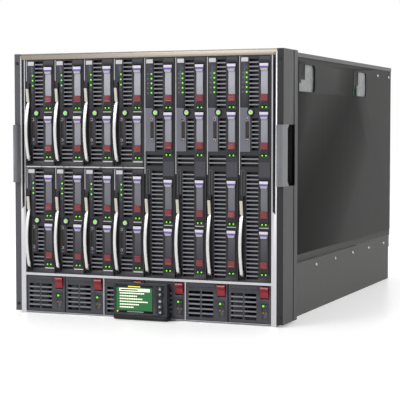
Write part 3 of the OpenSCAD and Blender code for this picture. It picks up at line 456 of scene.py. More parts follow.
class Fittings:
    """Small pieces of one body, gathered into one mesh."""

    def __init__(self, name: str, body: str) -> None:
        """Starts an empty set of fittings for a body."""
        self.name = name
        self.body = body
        self.points: List[Point] = []
        self.faces: List[List[int]] = []
        self.marks: List[int] = []
        self.finishes: List[Finish] = []

    def mark(self, finish: Finish) -> int:
        """Returns the slot number of a finish."""
        if finish not in self.finishes:
            self.finishes.append(finish)
        return self.finishes.index(finish)

    def add(self, finish: Finish, points: Sequence[Point], faces: Sequence[Sequence[int]]) -> None:
        """Adds points in millimetres and faces with one finish."""
        start = len(self.points)
        self.points += [tuple(c * MM for c in p) for p in points]
        self.faces += [[start + i for i in f] for f in faces]
        self.marks += [self.mark(finish)] * len(faces)

    def plate(self, finish: Finish, lo: Point, hi: Point, edge: float = 0.25) -> None:
        """Adds a plate that faces the front, with a chamfered front rim."""
        self.prism(
            finish, [(lo[0], lo[2]), (hi[0], lo[2]), (hi[0], hi[2]), (lo[0], hi[2])], lo[1], hi[1], edge)

    def prism(
            self, finish: Finish, outline: Sequence[Tuple[float, float]], y0: float, y1: float,
            edge: float = 0.2) -> None:
        """Adds a convex outline in X and Z, carried from y0 at the front to y1, with a chamfered front rim."""
        n = len(outline)
        cx = sum(p[0] for p in outline) / n
        cz = sum(p[1] for p in outline) / n

        def drawn_in(p: Tuple[float, float]) -> Tuple[float, float]:
            """Moves a corner towards the middle by the chamfer."""
            dx, dz = p[0] - cx, p[1] - cz
            size = math.hypot(dx, dz) or 1.0
            pull = min(edge * 1.3, size * 0.4) / size
            return (p[0] - dx * pull, p[1] - dz * pull)

        points = [
            (*drawn_in(p), y0) for p in outline] + [(*p, y0 + edge) for p in outline] + [(*p, y1) for p in outline]
        points3 = [(p[0], p[2], p[1]) for p in points]
        faces: List[List[int]] = [list(range(n)), list(range(3 * n - 1, 2 * n - 1, -1))]
        for ring in (0, n):
            for i in range(n):
                j = (i + 1) % n
                faces.append([ring + i, ring + n + i, ring + n + j, ring + j])
        self.add(finish, points3, faces)

    def dome(self, finish: Finish, centre: Point, radius: float, rise: float, sides: int = 12) -> None:
        """Adds a low round dome that faces the front."""
        x, y, z = centre
        ring = lambda r, d: [
            (x + r * math.cos(2 * math.pi * k / sides), y - d, z + r * math.sin(2 * math.pi * k / sides)) for k in range(sides)]
        points = ring(radius, -1.0) + ring(radius, 0.0) + ring(
            radius * 0.75, rise * 0.7) + [(x, y - rise, z)]
        faces: List[List[int]] = [list(range(sides - 1, -1, -1))]
        for base in (0, sides):
            for i in range(sides):
                j = (i + 1) % sides
                faces.append([base + i, base + j, base + sides + j, base + sides + i])
        faces += [[2 * sides + i, 2 * sides + (i + 1) % sides, 3 * sides] for i in range(sides)]
        self.add(finish, points, faces)

    def ring(
            self, finish: Finish, centre: Point, outer: float, inner: float, rise: float, sides: int = 24) -> None:
        """Adds a raised ring that faces the front."""
        x, y, z = centre
        mid = (outer + inner) / 2
        rows = [
            (outer, -0.6), (outer, rise * 0.5), (mid + (outer - mid) * 0.4, rise),
            (mid - (mid - inner) * 0.4, rise), (inner, rise * 0.4), (inner, -0.6)]
        points = [
            (
                x + r * math.cos(2 * math.pi * k / sides), y - d,
                z + r * math.sin(2 * math.pi * k / sides)) for r,
            d in rows for k in range(sides)]
        faces = []
        for row in range(len(rows)):
            nxt = (row + 1) % len(rows)
            for i in range(sides):
                j = (i + 1) % sides
                faces.append([row * sides + i, row * sides + j, nxt * sides + j, nxt * sides + i])
        self.add(finish, points, faces)

    def take(self, mesh: bpy.types.Mesh, finish: Finish) -> None:
        """Takes over a mesh in metres that Geometry Nodes made."""
        start = len(self.points)
        self.points += [tuple(v.co) for v in mesh.vertices]
        self.faces += [[start + i for i in p.vertices] for p in mesh.polygons]
        self.marks += [self.mark(finish)] * len(mesh.polygons)
        bpy.data.meshes.remove(mesh)

    def build(self) -> Optional[bpy.types.Object]:
        """Makes the gathered fittings a piece of the object."""
        if not self.faces:
            return None
        mesh = bpy.data.meshes.new(self.name)
        mesh.from_pydata(self.points, [], self.faces)
        for finish in self.finishes:
            mesh.materials.append(finish.material())
        mesh.polygons.foreach_set("material_index", self.marks)
        work = bmesh.new()
        work.from_mesh(mesh)
        bmesh.ops.recalc_face_normals(work, faces=work.faces)
        work.to_mesh(mesh)
        work.free()
        return settle(mesh, self.name, self.body)


class Form(Enum):
    """The shape that a pattern repeats."""

    BLOCK = 0
    STUD = 1


@dataclass(frozen=True)
class GridPattern:
    """Rows and columns of one small shape, made by Geometry Nodes.

    Sizes are in millimetres; columns run along X and rows along Z.
    """

    form: Form
    columns: int
    rows: int
    pitch_x: float
    pitch_z: float
    size: Point
    stagger: float = 0.0
    sides: int = 6

    def tree(self) -> bpy.types.NodeTree:
        """Builds the node tree once and returns it."""
        name = f"grid_of_{self.form.name.lower()}s"
        made = bpy.data.node_groups.get(name)
        if made:
            return made
        made = bpy.data.node_groups.new(name, "GeometryNodeTree")
        face = made.interface
        for label, kind in (("Columns", "Int"), ("Rows", "Int"), ("Pitch X", "Float"), ("Pitch Z", "Float"),
                            ("Stagger", "Float"), ("Size", "Vector"), ("Sides", "Int")):
            face.new_socket(label, in_out="INPUT", socket_type="NodeSocket" + kind)
        face.new_socket("Finish", in_out="INPUT", socket_type="NodeSocketMaterial")
        face.new_socket("Geometry", in_out="OUTPUT", socket_type="NodeSocketGeometry")
        given = put(made, "NodeGroupInput").outputs
        count = put(made, "ShaderNodeMath", {0: given["Columns"], 1: given["Rows"]}, operation="MULTIPLY")
        points = put(made, "GeometryNodePoints", {"Count": count.outputs[0]})
        index = put(made, "GeometryNodeInputIndex")
        column = put(
            made, "ShaderNodeMath", {0: index.outputs[0], 1: given["Columns"]}, operation="FLOORED_MODULO")
        row = put(made, "ShaderNodeMath", {0: index.outputs[0], 1: given["Columns"]}, operation="DIVIDE")
        row_no = put(made, "ShaderNodeMath", {0: row.outputs[0]}, operation="FLOOR")
        odd = put(made, "ShaderNodeMath", {0: row_no.outputs[0], 1: 2.0}, operation="FLOORED_MODULO")
        shift = put(made, "ShaderNodeMath", {0: odd.outputs[0], 1: given["Stagger"]}, operation="MULTIPLY")
        x = put(
            made, "ShaderNodeMath", {0: column.outputs[0], 1: given["Pitch X"], 2: shift.outputs[0]},
            operation="MULTIPLY_ADD")
        z = put(made, "ShaderNodeMath", {0: row_no.outputs[0], 1: given["Pitch Z"]}, operation="MULTIPLY")
        spot = put(made, "ShaderNodeCombineXYZ", {"X": x.outputs[0], "Z": z.outputs[0]})
        placed = put(
            made, "GeometryNodeSetPosition", {"Geometry": points.outputs[0], "Position": spot.outputs[0]})
        if self.form is Form.BLOCK:
            shape = put(made, "GeometryNodeMeshCube", {"Size": given["Size"]}).outputs["Mesh"]
        else:
            size = put(made, "ShaderNodeSeparateXYZ", {"Vector": given["Size"]})
            radius = put(made, "ShaderNodeMath", {0: size.outputs["X"], 1: 0.5}, operation="MULTIPLY")
            stud = put(made, "GeometryNodeMeshCone", {
                "Vertices": given[
                    "Sides"], "Radius Top": radius.outputs[0], "Radius Bottom": radius.outputs[0],
                "Depth": size.outputs["Y"]})
            shape = put(made, "GeometryNodeTransform", {
                "Geometry": stud.outputs["Mesh"], "Rotation": (math.pi / 2, 0.0, 0.0)}).outputs[0]
        copies = put(made, "GeometryNodeInstanceOnPoints", {"Points": placed.outputs[0], "Instance": shape})
        real = put(made, "GeometryNodeRealizeInstances", {"Geometry": copies.outputs[0]})
        coated = put(
            made, "GeometryNodeSetMaterial", {"Geometry": real.outputs[0], "Material": given["Finish"]})
        put(made, "NodeGroupOutput", {"Geometry": coated.outputs[0]})
        return made

    def build(self, origin: Point, finish: Finish, turn: Optional[Matrix] = None) -> bpy.types.Mesh:
        """Runs the tree and places its result.

        Args:
            origin: where the first shape's middle goes, in millimetres.
            finish: the finish of the shapes.
            turn: a rotation about the origin, when the grid doesn't face the front.

        Returns:
            A plain mesh in metres.
        """
        holder = bpy.data.objects.new("pattern", bpy.data.meshes.new("pattern"))
        bpy.context.scene.collection.objects.link(holder)
        step = holder.modifiers.new("pattern", "NODES")
        step.node_group = self.tree()
        given = {"Columns": self.columns, "Rows": self.rows, "Pitch X": self.pitch_x * MM, "Pitch Z": self.pitch_z * MM,
                 "Stagger": self.stagger * MM, "Size": tuple(
                     c * MM for c in self.size), "Sides": self.sides,
                 "Finish": finish.material()}
        for item in step.node_group.interface.items_tree:
            if item.in_out == "INPUT":
                step[item.identifier] = given[item.name]
        seen = holder.evaluated_get(bpy.context.evaluated_depsgraph_get())
        mesh = bpy.data.meshes.new_from_object(seen)
        holder.modifiers.remove(step)
        bpy.data.objects.remove(holder)
        mesh.transform(
            Matrix.Translation(Vector(origin) * MM) @ (turn.to_4x4() if turn else Matrix.Identity(4)))
        return mesh


# ---- Server blades ----


@dataclass
class DriveDress:
    """Cap, status lamps and trim of one drive carrier, in millimetres from its lower left corner."""

    height: float = 76.0

    def dress(self, body: Fittings, grip: Fittings, x: float, z: float) -> None:
        """Adds the trim of a carrier whose lower left corner is at x and z."""
        y = FACE_Y
        top = z + self.height
        # The cap's top: painted white as a highlight over the violet band.
        grip.plate(Kit.cap, (x + 1.2, y - 3.0, top - 8.0), (x + 15.6, y - 1.0, top - 3.6), 0.5)
        grip.plate(Kit.violet, (x + 1.5, y - 2.7, top - 11.0), (x + 15.3, y - 1.0, top - 8.05), 0.3)
        grip.prism(
            Kit.silver_trim_and_edge_highlight,
            [(x + 3.2, top - 15.0), (x + 13.4, top - 15.0), (x + 15.0, top - 11.1), (x + 1.8, top - 11.1)],
            y - 2.4, y - 1.0, 0.5)
        for k in (0, 1):
            body.dome(Kit.green, (x + 5.4 + k * 6.2, y - 0.5, z + 3.2), 1.25, 0.5, 10)
        body.plate(Kit.dark, (x + 2.9, y - 0.55, z + 5.6), (x + 14.1, y - 0.3, z + 12.4), 0.1)


@dataclass
class Blade:
    """A server blade: its bezel, vents, lamps, button, connector and drives."""

    number: int
    full: bool
    height: float = field(init=False)
    x: float = field(init=False)
    z: float = field(init=False)
    slot_pitch: float = 6.7
    notch_v: float = 98.5

    def __post_init__(self) -> None:
        """Reads the blade's place from the frame."""
        self.name = f"server_{self.number:02d}"
        lo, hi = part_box(self.name)
        self.x, self.z = lo.x / MM, lo.z / MM
        self.height = (hi.z - lo.z) / MM
        self.top = hi.z / MM

    def finish_of(self, centre: Vector, normal: Vector, lo: Vector, hi: Vector) -> Finish:
        """Chooses the finish of one face of the blade's node."""
        u, v = lo.x - self.x, self.top - centre.z
        size = hi - lo
        if size.z > self.height - 1:
            return Kit.zinc if lo.y > FACE_Y + 10 else self.bezel_finish(centre, normal)
        if lo.y > FACE_Y + 100:
            return Kit.board if size.x < 3 else (Kit.fins if size.x > 20 and size.y > 60 else Kit.plug)
        if u > 33:
            if size.y > 40:
                return Kit.carrier
            return Kit.burgundy if size.z < 14 else Kit.bar
        if abs(size.x - size.z) < 0.6 and size.x > 7 and u > 10:
            return Kit.dark if size.x > 9 else Kit.plated
        return Kit.carrier

    def bezel_finish(self, centre: Vector, normal: Vector) -> Finish:
        """Chooses the finish of one face of the moulded bezel."""
        u, t, y = centre.x - self.x, self.top - centre.z, centre.y - FACE_Y
        if 11.5 < u < 17.5 and y < -0.85:
            return Kit.contact
        if y < -0.4:
            return Kit.strip
        # Faces inside the drive bays that don't face the front are painted black as shade.
        if u > 33.5 and normal.y > -0.5:
            return Kit.dark
        return Kit.bezel

    def ribs(self, out: Fittings) -> None:
        """Faces the ribs between the vent slots, painted pale as a highlight."""
        groups = [(17.8, 32.8, 4.6, 12), (21.9, 32.8, 101.6, 7), (13.4, 32.8, 148.6, 5)]
        if self.full:
            groups = [
                (17.8, 32.8, 7.5, 12), (21.9, 32.8, 101.6, 8), (4.5, 32.8, 161.0, 3),
                (13.4, 32.8, 187.0, 26)]
        for left, right, first, count in groups:
            count = min(count, int((self.height - 4 - first) / self.slot_pitch) + 1)
            grid = GridPattern(
                Form.BLOCK, 1, count - 1, 0.0, -self.slot_pitch, (right - left + 0.4, 0.7, 2.0))
            out.take(
                grid.build(
                    (self.x + (left + right) / 2, FACE_Y - 0.2, self.top - first - self.slot_pitch / 2),
                    Kit.rib_highlight),
                Kit.rib_highlight)

    def lamps(self, out: Fittings) -> None:
        """Adds the label plate and the rows of status lamps."""
        y = FACE_Y - 0.8
        out.plate(
            Kit.label, (self.x + 4.0, y - 0.35, self.top - 9.6), (self.x + 15.7, y + 0.2, self.top - 3.0),
            0.15)
        rows = (27, 34.6, 42.3, 50, 57.6) if self.full else (26.5, 35.0, 43.5)
        for t in rows:
            out.dome(Kit.green, (self.x + 13.2, y, self.top - t), 1.45, 0.6, 12)
            if self.full:
                out.plate(
                    Kit.unlit, (self.x + 5.4, y - 0.15, self.top - t - 1.1),
                    (self.x + 8.0, y + 0.1, self.top - t + 1.1), 0.1)
        out.dome(Kit.unlit, (self.x + 13.2, y, self.top - (18.5 if self.full else 52.0)), 1.1, 0.4, 10)

    def button(self, out: Fittings, cap: Fittings) -> None:
        """Adds the rings of the power button and its lit centre."""
        at = (self.x + 20.0, FACE_Y - 1.2, self.top - 90.0)
        out.ring(Kit.dark, at, 6.1, 4.3, 0.9)
        cap.ring(Kit.plated, (at[0], FACE_Y - 1.4, at[2]), 3.9, 2.2, 0.7)
        cap.dome(Kit.green, (at[0], FACE_Y - 1.4, at[2]), 2.2, 0.8, 16)

    def connector(self, out: Fittings) -> None:
        """Adds the insert and the posts of the cable connector."""
        x, y, z = self.x + 14.4, FACE_Y - 0.8, self.top - 118.0
        out.plate(Kit.contact, (x - 1.1, y - 1.2, z - 10.5), (x + 1.1, y - 0.4, z + 10.5), 0.3)
        for side in (-1, 1):
            out.ring(Kit.plated, (x, y - 1.2, z + side * 17.0), 2.7, 1.0, 1.0, 12)
            out.dome(Kit.dark, (x, y - 1.0, z + side * 17.0), 1.2, 0.1, 10)
        out.plate(Kit.unlit, (x - 1.6, y - 0.15, z - 24.6), (x + 1.6, y + 0.1, z - 22.2), 0.1)

    def screen(self, out: Fittings) -> None:
        """Adds a black sheet of painted shade behind the vents, the seams between the mouldings and the painted
        highlight down the left edge.
        """
        x, y, top = self.x, FACE_Y, self.top
        # Black sheet set behind the vents as painted shade.
        out.plate(
            Kit.dark, (x + 2.6, y + 8.0, top - self.height + 2.6), (x + 32.9, y + 9.0, top - 2.6), 0.2)
        out.plate(Kit.dark, (x + 16.7, y - 0.12, top - 83.6), (x + 17.7, y + 0.1, top - 2.0), 0.05)
        # Pale strip down the left edge of the face: a painted highlight, over the upper part only.
        highlight_end = 190.0 if self.full else 36.0
        out.plate(Kit.silver_trim_and_edge_highlight, (x + 0.5, y - 0.7, top - highlight_end), (x + 1.9, y + 0.2, top - 0.8), 0.25)
        clip = self.top - self.height + 131.0
        out.plate(Kit.dark, (x + 4.0, y - 4.5, clip), (x + 8.8, y + 0.2, clip + 7.5), 0.5)
        bars = ((271.9, 275.9),) if self.full else ((84.9, 91.6),)
        for first, last in bars:
            out.plate(Kit.dark, (x + 34.0, y - 0.15, top - last), (x + 52.3, y + 0.1, top - first), 0.05)
            middle = (first + last) / 2
            out.plate(
                Kit.silver_trim_and_edge_highlight, (x + 35.2, y - 1.1, top - middle - 0.9), (x + 50.6, y, top - middle + 0.7),
                0.3)
        if self.full:
            out.plate(Kit.unlit, (x + 4.0, y - 0.4, top - 222.6), (x + 9.2, y + 0.1, top - 182.6), 0.1)
            out.plate(Kit.dark, (x + 4.6, y - 0.5, top - 222.0), (x + 8.6, y + 0.1, top - 183.2), 0.05)

    def panels(self, out: Fittings) -> None:
        """Adds the plates that cover the plain parts of the face."""
        x, y = self.x, FACE_Y
        if self.full:
            out.prism(
                Kit.panel,
                [
                    (x + 2.0, self.top - 153), (x + 19.4, self.top - 153), (x + 19.4, self.top - 97),
                    (x + 15.0, self.top - 82.5), (x + 2.0, self.top - 82.5)],
                y - 1.15, y + 0.2, 0.3)
            out.plate(
                Kit.strip, (x + 34.2, y - 0.6, self.top - 193.5), (x + 52.8, y + 0.4, self.top - 169.5),
                0.4)
        else:
            out.plate(
                Kit.silver, (x + 35.0, y - 0.5, self.top - 171.6), (x + 52.0, y + 0.4, self.top - 169.9),
                0.2)
            out.plate(
                Kit.strip, (x + 35.0, y - 0.9, self.top - 178.5), (x + 52.6, y + 0.4, self.top - 172.4),
                0.4)
        out.plate(Kit.strip, (x + 34.2, y - 0.5, self.top - 6.5), (x + 52.4, y + 0.9, self.top - 1.2), 0.4)

    def build(self) -> None:
        """Dresses the blade, with the loose pieces of the first one on their own bodies."""
        NodeSkin(self.name, self.name, self.finish_of).build()
        out = Fittings(self.name + "_trim", self.name)
        self.ribs(out)
        self.lamps(out)
        loose = self.number == 1
        cap = Fittings("power_button_trim", "power_button") if loose else out
        self.button(out, cap)
        self.connector(out)
        self.panels(out)
        self.screen(out)
        tops = (9.0, 86.0, 196.0, 276.0) if self.full else (9.0, 91.5)
        for index, t in enumerate(tops):
            own = loose and index == 0
            carrier = Fittings("drive_carrier_trim", "drive_carrier") if own else out
            grip = Fittings("drive_handle_trim", "drive_handle") if own else out
            drive = DriveDress()
            drive.dress(carrier, grip, self.x + 34.1, self.top - t - drive.height)
            if own:
                carrier.build()
                grip.build()
        if loose:
            cap.build()
            for node, finish in (
                    ("drive_carrier", Kit.carrier), ("drive_handle", Kit.bar),
                    ("drive_button", Kit.burgundy), ("power_button", Kit.plated)):
                NodeSkin(node, node, lambda c, n, lo, hi, f=finish: f).build()
        out.build()
        self.lever()

    def lever(self) -> None:
        """Dresses the release lever."""
        name = f"lever_{self.number:02d}"
        NodeSkin(
            name, name, lambda c, n, lo, hi: Kit.finger if c.z > lo.z + self.notch_v else Kit.lever).build()


# ---- Enclosure ----


@dataclass
class Enclosure:
    """The sheet-metal body, its trim and its ears."""

    sill_low: float = 104.0
    handle_z: float = 273.0
    handle_half: float = 48.6

    def wall_finish(self, centre: Vector, normal: Vector, lo: Vector, hi: Vector) -> Finish:
        """Chooses the finish of one face of a side wall."""
        if abs(centre.x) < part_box("right_wall")[1].x / MM - 1.2 and abs(normal.x) > 0.5:
            return Kit.zinc
        return Kit.foot if centre.z < self.sill_low + 0.5 else Kit.wall

    def trim_finish(self, centre: Vector, normal: Vector, lo: Vector, hi: Vector) -> Finish:
        """Chooses the finish of one face of the front trim."""
        return Kit.head if centre.z > TOP_Z - 9.5 and normal.z > -0.5 else Kit.silver

    def ear_finish(self, centre: Vector, normal: Vector, lo: Vector, hi: Vector) -> Finish:
        """Chooses the finish of one face of an ear."""
        if hi.z - lo.z < 200 or (
                abs(centre.z - self.handle_z) < self.handle_half and centre.y < FRONT_Y + 20.5):
            return Kit.grip
        if normal.y < -0.5 and centre.y < FRONT_Y + 3:
            # Ear fronts: painted light on the left ear, painted shade on the right.
            return Kit.ear_painted_light if centre.x < 0 else Kit.black_and_ear_shade
        return Kit.ear

    def build(self) -> None:
        """Dresses the nodes of the enclosure."""
        plain: Dict[str, Finish] = {
            "base_pan": Kit.tub, "top_cover": Kit.cover, "power_deck": Kit.zinc, "bay_dividers": Kit.silver,
            "guide_rails": Kit.zinc, "trim_insets": Kit.inset}
        for node, finish in plain.items():
            NodeSkin(node, "chassis", lambda c, n, lo, hi, f=finish: f).build()
        for side in ("left", "right"):
            NodeSkin(side + "_wall", "chassis", self.wall_finish).build()
            NodeSkin("ear_" + side, "chassis", self.ear_finish).build()
        NodeSkin("front_trim", "chassis", self.trim_finish).build()
        NodeSkin(
            "screws", "chassis", lambda c, n, lo, hi: Kit.black_and_ear_shade if lo.y < FRONT_Y else Kit.plated).build()
        NodeSkin("midplane_board", "chassis", lambda c, n, lo, hi: Kit.board).build()
        NodeSkin(
            "power_backplane", "chassis", lambda c, n, lo,
            hi: Kit.board if hi.z - lo.z > 20 else Kit.copper).build()


# ---- Power supplies and display ----


@dataclass
class PowerSupply:
    """A power supply with its grille, latch and status lamps."""

    number: int
    width: float = 72.0

    def __post_init__(self) -> None:
        """Reads the supply's place from the frame."""
        self.name = f"power_supply_{self.number}"
        lo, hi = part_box(self.name)
        self.x, self.z = lo.x / MM, lo.z / MM
        self.height = (hi.z - lo.z) / MM
        self.y = FRONT_Y + 2.0

    def finish_of(self, centre: Vector, normal: Vector, lo: Vector, hi: Vector) -> Finish:
        """Chooses the finish of one face of the supply's node."""
        size = hi - lo
        if size.x > 60:
            return Kit.supply if lo.y < self.y + 10 else (
                Kit.board if centre.z < self.z + 3.2 and centre.z > self.z + 1.5 and hi.z < self.z + 60 else Kit.zinc)
        return Kit.crimson if lo.y < self.y + 10 else Kit.fins

    def build(self) -> None:
        """Dresses the supply."""
        NodeSkin(self.name, self.name, self.finish_of).build()
        out = Fittings(self.name + "_trim", self.name)
        x, y, z = self.x, self.y, self.z
        for column in (0, 1):
            bars = GridPattern(Form.BLOCK, 1, 5, 0.0, 7.6, (20.4, 0.7, 2.2))
            # The grille bars take the same painted highlight as the vent ribs.
            out.take(bars.build((x + 14.5 + column * 23, y - 0.2, z + 11.0), Kit.rib_highlight), Kit.rib_highlight)
        out.plate(
            Kit.strip, (x + 3.6, y - 1.3, z + self.height - 6.2),
            (x + self.width - 21.6, y - 0.6, z + self.height - 1.8), 0.4)
        out.dome(Kit.green, (x + 59.0, y + 0.9, z + 28.0), 1.9, 0.9, 14)
        out.dome(Kit.unlit, (x + 64.6, y + 0.9, z + 28.0), 1.4, 0.7, 12)
        out.dome(Kit.amber, (x + 58.6, y + 0.9, z + 17.0), 1.1, 0.6, 12)
        out.prism(
            Kit.unlit, [(x + 62.4, z + 15.4), (x + 66.6, z + 15.4), (x + 64.5, z + 19.0)], y + 0.5,
            y + 1.1, 0.1)
        out.build()


@dataclass
class DisplayUnit:
    """The sliding display: its panel, its lit screen and its keys."""

    screen_w: float = 67.0
    screen_h: float = 46.0

    def build(self) -> None:
        """Dresses the display's carriage, panel and keys."""
        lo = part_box("display_panel")[0]
        x0, y0, z0 = lo.x / MM, lo.y / MM, lo.z / MM

        def panel_rule(centre: Vector, normal: Vector, low: Vector, high: Vector) -> Finish:
            """Chooses between panel, screen and key."""
            size = high - low
            if size.x > 90:
                return Kit.bezel_blue
            return Kit.title if size.x > 30 else Kit.key

        NodeSkin("display_panel", "display", panel_rule).build()
        NodeSkin("display_carriage", "display", lambda c, n, a, b: Kit.black_and_ear_shade).build()
        NodeSkin("enter_key", "enter_key", lambda c, n, a, b: Kit.key).build()
        out = Fittings("display_trim", "display")
        left, low = x0 + 3.9, z0 + 3.7
        wide, tall = self.screen_w - 0.6, self.screen_h - 0.6
        y = y0 + 0.7
        out.plate(
            Kit.page, (left + 0.8, y - 0.12, low + 3.8), (left + wide - 0.8, y + 0.1, low + tall - 3.6),
            0.02)
        out.plate(
            Kit.yellow, (left + 22.0, y - 0.16, low + tall - 2.9),
            (left + 44.0, y + 0.05, low + tall - 1.1), 0.02)
        out.plate(
            Kit.pale_row, (left + 6.0, y - 0.2, low + tall - 10.0),
            (left + wide - 5.0, y, low + tall - 5.0), 0.02)
        out.plate(
            Kit.title, (left + 8.0, y - 0.26, low + tall - 8.6), (left + 40.0, y - 0.1, low + tall - 6.4),
            0.02)
        for row, length in enumerate((46.0, 35.0, 43.0, 53.0, 37.0, 27.0)):
            text = GridPattern(Form.BLOCK, int(length / 3.2), 1, 3.2, 0.0, (2.5, 0.12, 1.9))
            out.take(
                text.build((left + 8.2, y - 0.16, low + tall - 13.2 - row * 4.6), Kit.pale_row),
                Kit.pale_row)
        out.plate(Kit.yellow, (left + 1.6, y - 0.16, low + 0.8), (left + 4.0, y + 0.05, low + 3.2), 0.02)
        foot = GridPattern(Form.BLOCK, 9, 1, 3.3, 0.0, (2.5, 0.12, 1.5))
        out.take(foot.build((left + 22.0, y - 0.1, low + 1.9), Kit.ink), Kit.ink)
        out.build()
        self.icons(x0 + 83.5, y0 - 0.6, z0)

    def icons(self, x: float, y: float, z0: float) -> None:
        """Prints a plain arrow or square on each key."""
        out = Fittings("key_marks", "display")
        r = 2.1
        arrows = {
            45.5: [(x - r, -r), (x + r, -r), (x, r)], 35.5: [(x - r, r), (x, -r), (x + r, r)],
            15.8: [(x - r, -r), (x + r, 0.0), (x - r, r)], 6.5: [(x + r, -r), (x + r, r), (x - r, 0.0)]}
        for height, outline in arrows.items():
            out.prism(Kit.ink, [(p[0], z0 + height + p[1]) for p in outline], y - 0.12, y + 0.3, 0.05)
        out.build()
        mark = Fittings("enter_key_mark", "enter_key")
        mark.plate(Kit.ink, (x - r, y - 0.12, z0 + 25.0 - 1.6), (x + r, y + 0.3, z0 + 25.0 + 1.6), 0.05)
        mark.build()


# ---- Rear ----


@dataclass
class RearFace:
    """Fans, modules, cage and mains inlets at the rear."""

    def fan_rule(self, centre: Vector, normal: Vector, lo: Vector, hi: Vector) -> Finish:
        """Chooses the finish of one face of a fan module."""
        size = hi - lo
        if centre.y > REAR_Y + 0.2:
            return Kit.burgundy
        return Kit.rotor if size.x < 80 and size.y < 30 else Kit.fan_abs

    def module_rule(self, centre: Vector, normal: Vector, lo: Vector, hi: Vector) -> Finish:
        """Chooses the finish of one face of a rear module."""
        if centre.y > REAR_Y + 0.2:
            return Kit.burgundy
        if centre.y > REAR_Y - 3.4 and normal.y > 0.5 and centre.y < REAR_Y - 1.0:
            return Kit.plug
        return Kit.module

    def build(self) -> None:
        """Dresses the nodes at the rear."""
        NodeSkin("rear_cage", "chassis", lambda c, n, lo, hi: Kit.zinc).build()
        NodeSkin("fan_units", "chassis", self.fan_rule).build()
        NodeSkin("fan_module", "fan_module", self.fan_rule).build()
        NodeSkin("fan_rotor", "fan_rotor", lambda c, n, lo, hi: Kit.rotor).build()
        NodeSkin("rear_modules", "chassis", self.module_rule).build()
        NodeSkin("interconnect_module", "interconnect_module", self.module_rule).build()
        NodeSkin("admin_module", "admin_module", self.module_rule).build()
        inlet_front = REAR_Y - 14.0
        NodeSkin(
            "power_inlets", "chassis", lambda c, n, lo,
            hi: Kit.plug if c.y > inlet_front + 0.1 or c.y < inlet_front - 1.1 else Kit.zinc).build()


# ---- Studio ----


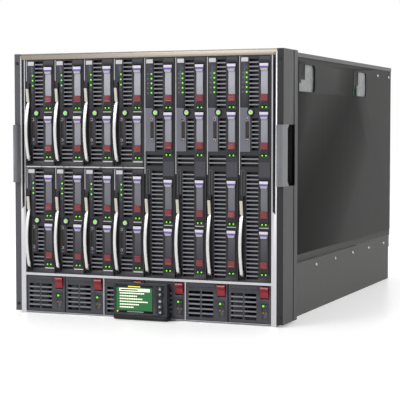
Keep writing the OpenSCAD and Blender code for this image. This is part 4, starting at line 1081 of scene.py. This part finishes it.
@dataclass
class Studio:
    """Camera, lamps, floor and backdrop light."""

    eye: Point = (0.909, -2.3835, 0.316)
    yaw: float = 22.1
    pitch: float = 3.08
    lens: float = 119.9

    def camera(self) -> None:
        """Places the camera."""
        data = bpy.data.cameras.new("camera")
        data.lens = self.lens
        data.sensor_width = 36.0
        data.clip_end = 50.0
        eye = bpy.data.objects.new("camera", data)
        yaw, pitch = math.radians(self.yaw), math.radians(self.pitch)
        ahead = Vector(
            (-math.sin(yaw) * math.cos(pitch), math.cos(yaw) * math.cos(pitch), -math.sin(pitch)))
        eye.location = self.eye
        eye.rotation_mode = "QUATERNION"
        eye.rotation_quaternion = ahead.to_track_quat("-Z", "Y")
        bpy.context.scene.collection.objects.link(eye)
        bpy.context.scene.camera = eye

    def lamp(self, name: str, place: Point, aim: Point, size: Tuple[float, float], power: float) -> None:
        """Hangs one soft lamp."""
        data = bpy.data.lights.new(name, "AREA")
        data.shape = "RECTANGLE"
        data.size, data.size_y = size
        data.energy = power
        lamp = bpy.data.objects.new(name, data)
        lamp.location = place
        lamp.rotation_mode = "QUATERNION"
        lamp.rotation_quaternion = (Vector(aim) - Vector(place)).to_track_quat("-Z", "Y")
        bpy.context.scene.collection.objects.link(lamp)

    def backdrop(self) -> None:
        """Makes the world white to the camera, to gloss and through glass, and softer as a light."""
        world = bpy.data.worlds.new("studio")
        bpy.context.scene.world = world
        world.use_nodes = True
        tree = world.node_tree
        tree.nodes.clear()
        path = put(tree, "ShaderNodeLightPath").outputs
        seen = put(
            tree, "ShaderNodeMath", {0: path["Is Camera Ray"], 1: path["Is Transmission Ray"]},
            operation="MAXIMUM")
        any_of = put(
            tree, "ShaderNodeMath", {0: seen.outputs[0], 1: path["Is Glossy Ray"]}, operation="MAXIMUM")
        level = put(tree, "ShaderNodeMapRange", {"Value": any_of.outputs[0], "To Min": 0.5, "To Max": 1.0})
        glow = put(
            tree, "ShaderNodeBackground", {"Color": (1.0, 1.0, 1.0, 1.0), "Strength": level.outputs[0]})
        put(tree, "ShaderNodeOutputWorld", {"Surface": glow.outputs[0]})

    def floor(self) -> None:
        """Lays a plain pale floor that keeps the object's shadow."""
        mesh = bpy.data.meshes.new("floor")
        mesh.from_pydata([(-12, -12, 0), (12, -12, 0), (12, 12, 0), (-12, 12, 0)], [], [(0, 1, 2, 3)])
        made = bpy.data.materials.new("white_studio_floor")
        made.use_nodes = True
        tree = made.node_tree
        tree.nodes.clear()
        path = put(tree, "ShaderNodeLightPath").outputs
        matt = put(
            tree, "ShaderNodeBsdfPrincipled",
            {"Base Color": linear("#f4f4f4"), "Roughness": 0.35, "Specular IOR Level": 0.3})
        lift = put(tree, "ShaderNodeEmission", {"Color": (1.0, 1.0, 1.0, 1.0)})
        level = put(tree, "ShaderNodeMath", {0: path["Is Camera Ray"], 1: 0.35}, operation="MULTIPLY")
        tree.links.new(level.outputs[0], lift.inputs["Strength"])
        both = put(tree, "ShaderNodeAddShader", {0: matt.outputs[0], 1: lift.outputs[0]})
        put(tree, "ShaderNodeOutputMaterial", {"Surface": both.outputs[0]})
        mesh.materials.append(made)
        floor = bpy.data.objects.new("floor", mesh)
        bpy.context.scene.collection.objects.link(floor)

    def build(self) -> None:
        """Sets up the whole studio."""
        bpy.context.scene.view_settings.view_transform = "Standard"
        self.camera()
        self.backdrop()
        self.floor()
        self.lamp("key", (-1.6, -3.2, 2.4), (0.0, -0.3, 0.2), (2.0, 1.6), 60.0)
        self.lamp("side", (3.6, -0.4, 1.8), (0.0, 0.0, 0.2), (1.6, 1.6), 18.0)
        self.lamp("top", (0.0, 0.0, 3.4), (0.0, 0.0, 0.0), (2.4, 2.4), 30.0)


def main() -> None:
    """Builds every sub-assembly in order and reports each one."""
    logging.basicConfig(level=logging.INFO, format="%(name)s: %(message)s")
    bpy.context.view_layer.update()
    Studio().build()
    log.info("studio ready")
    Enclosure().build()
    log.info("enclosure dressed")
    for number in range(1, 13):
        Blade(number, number > 8).build()
        log.info("blade %d dressed", number)
    for number in range(1, 7):
        PowerSupply(number).build()
    NodeSkin("psu_latch", "psu_latch", lambda c, n, lo, hi: Kit.crimson).build()
    log.info("power supplies dressed")
    DisplayUnit().build()
    log.info("display dressed")
    RearFace().build()
    log.info("rear dressed")


if __name__ == "__main__":
    main()
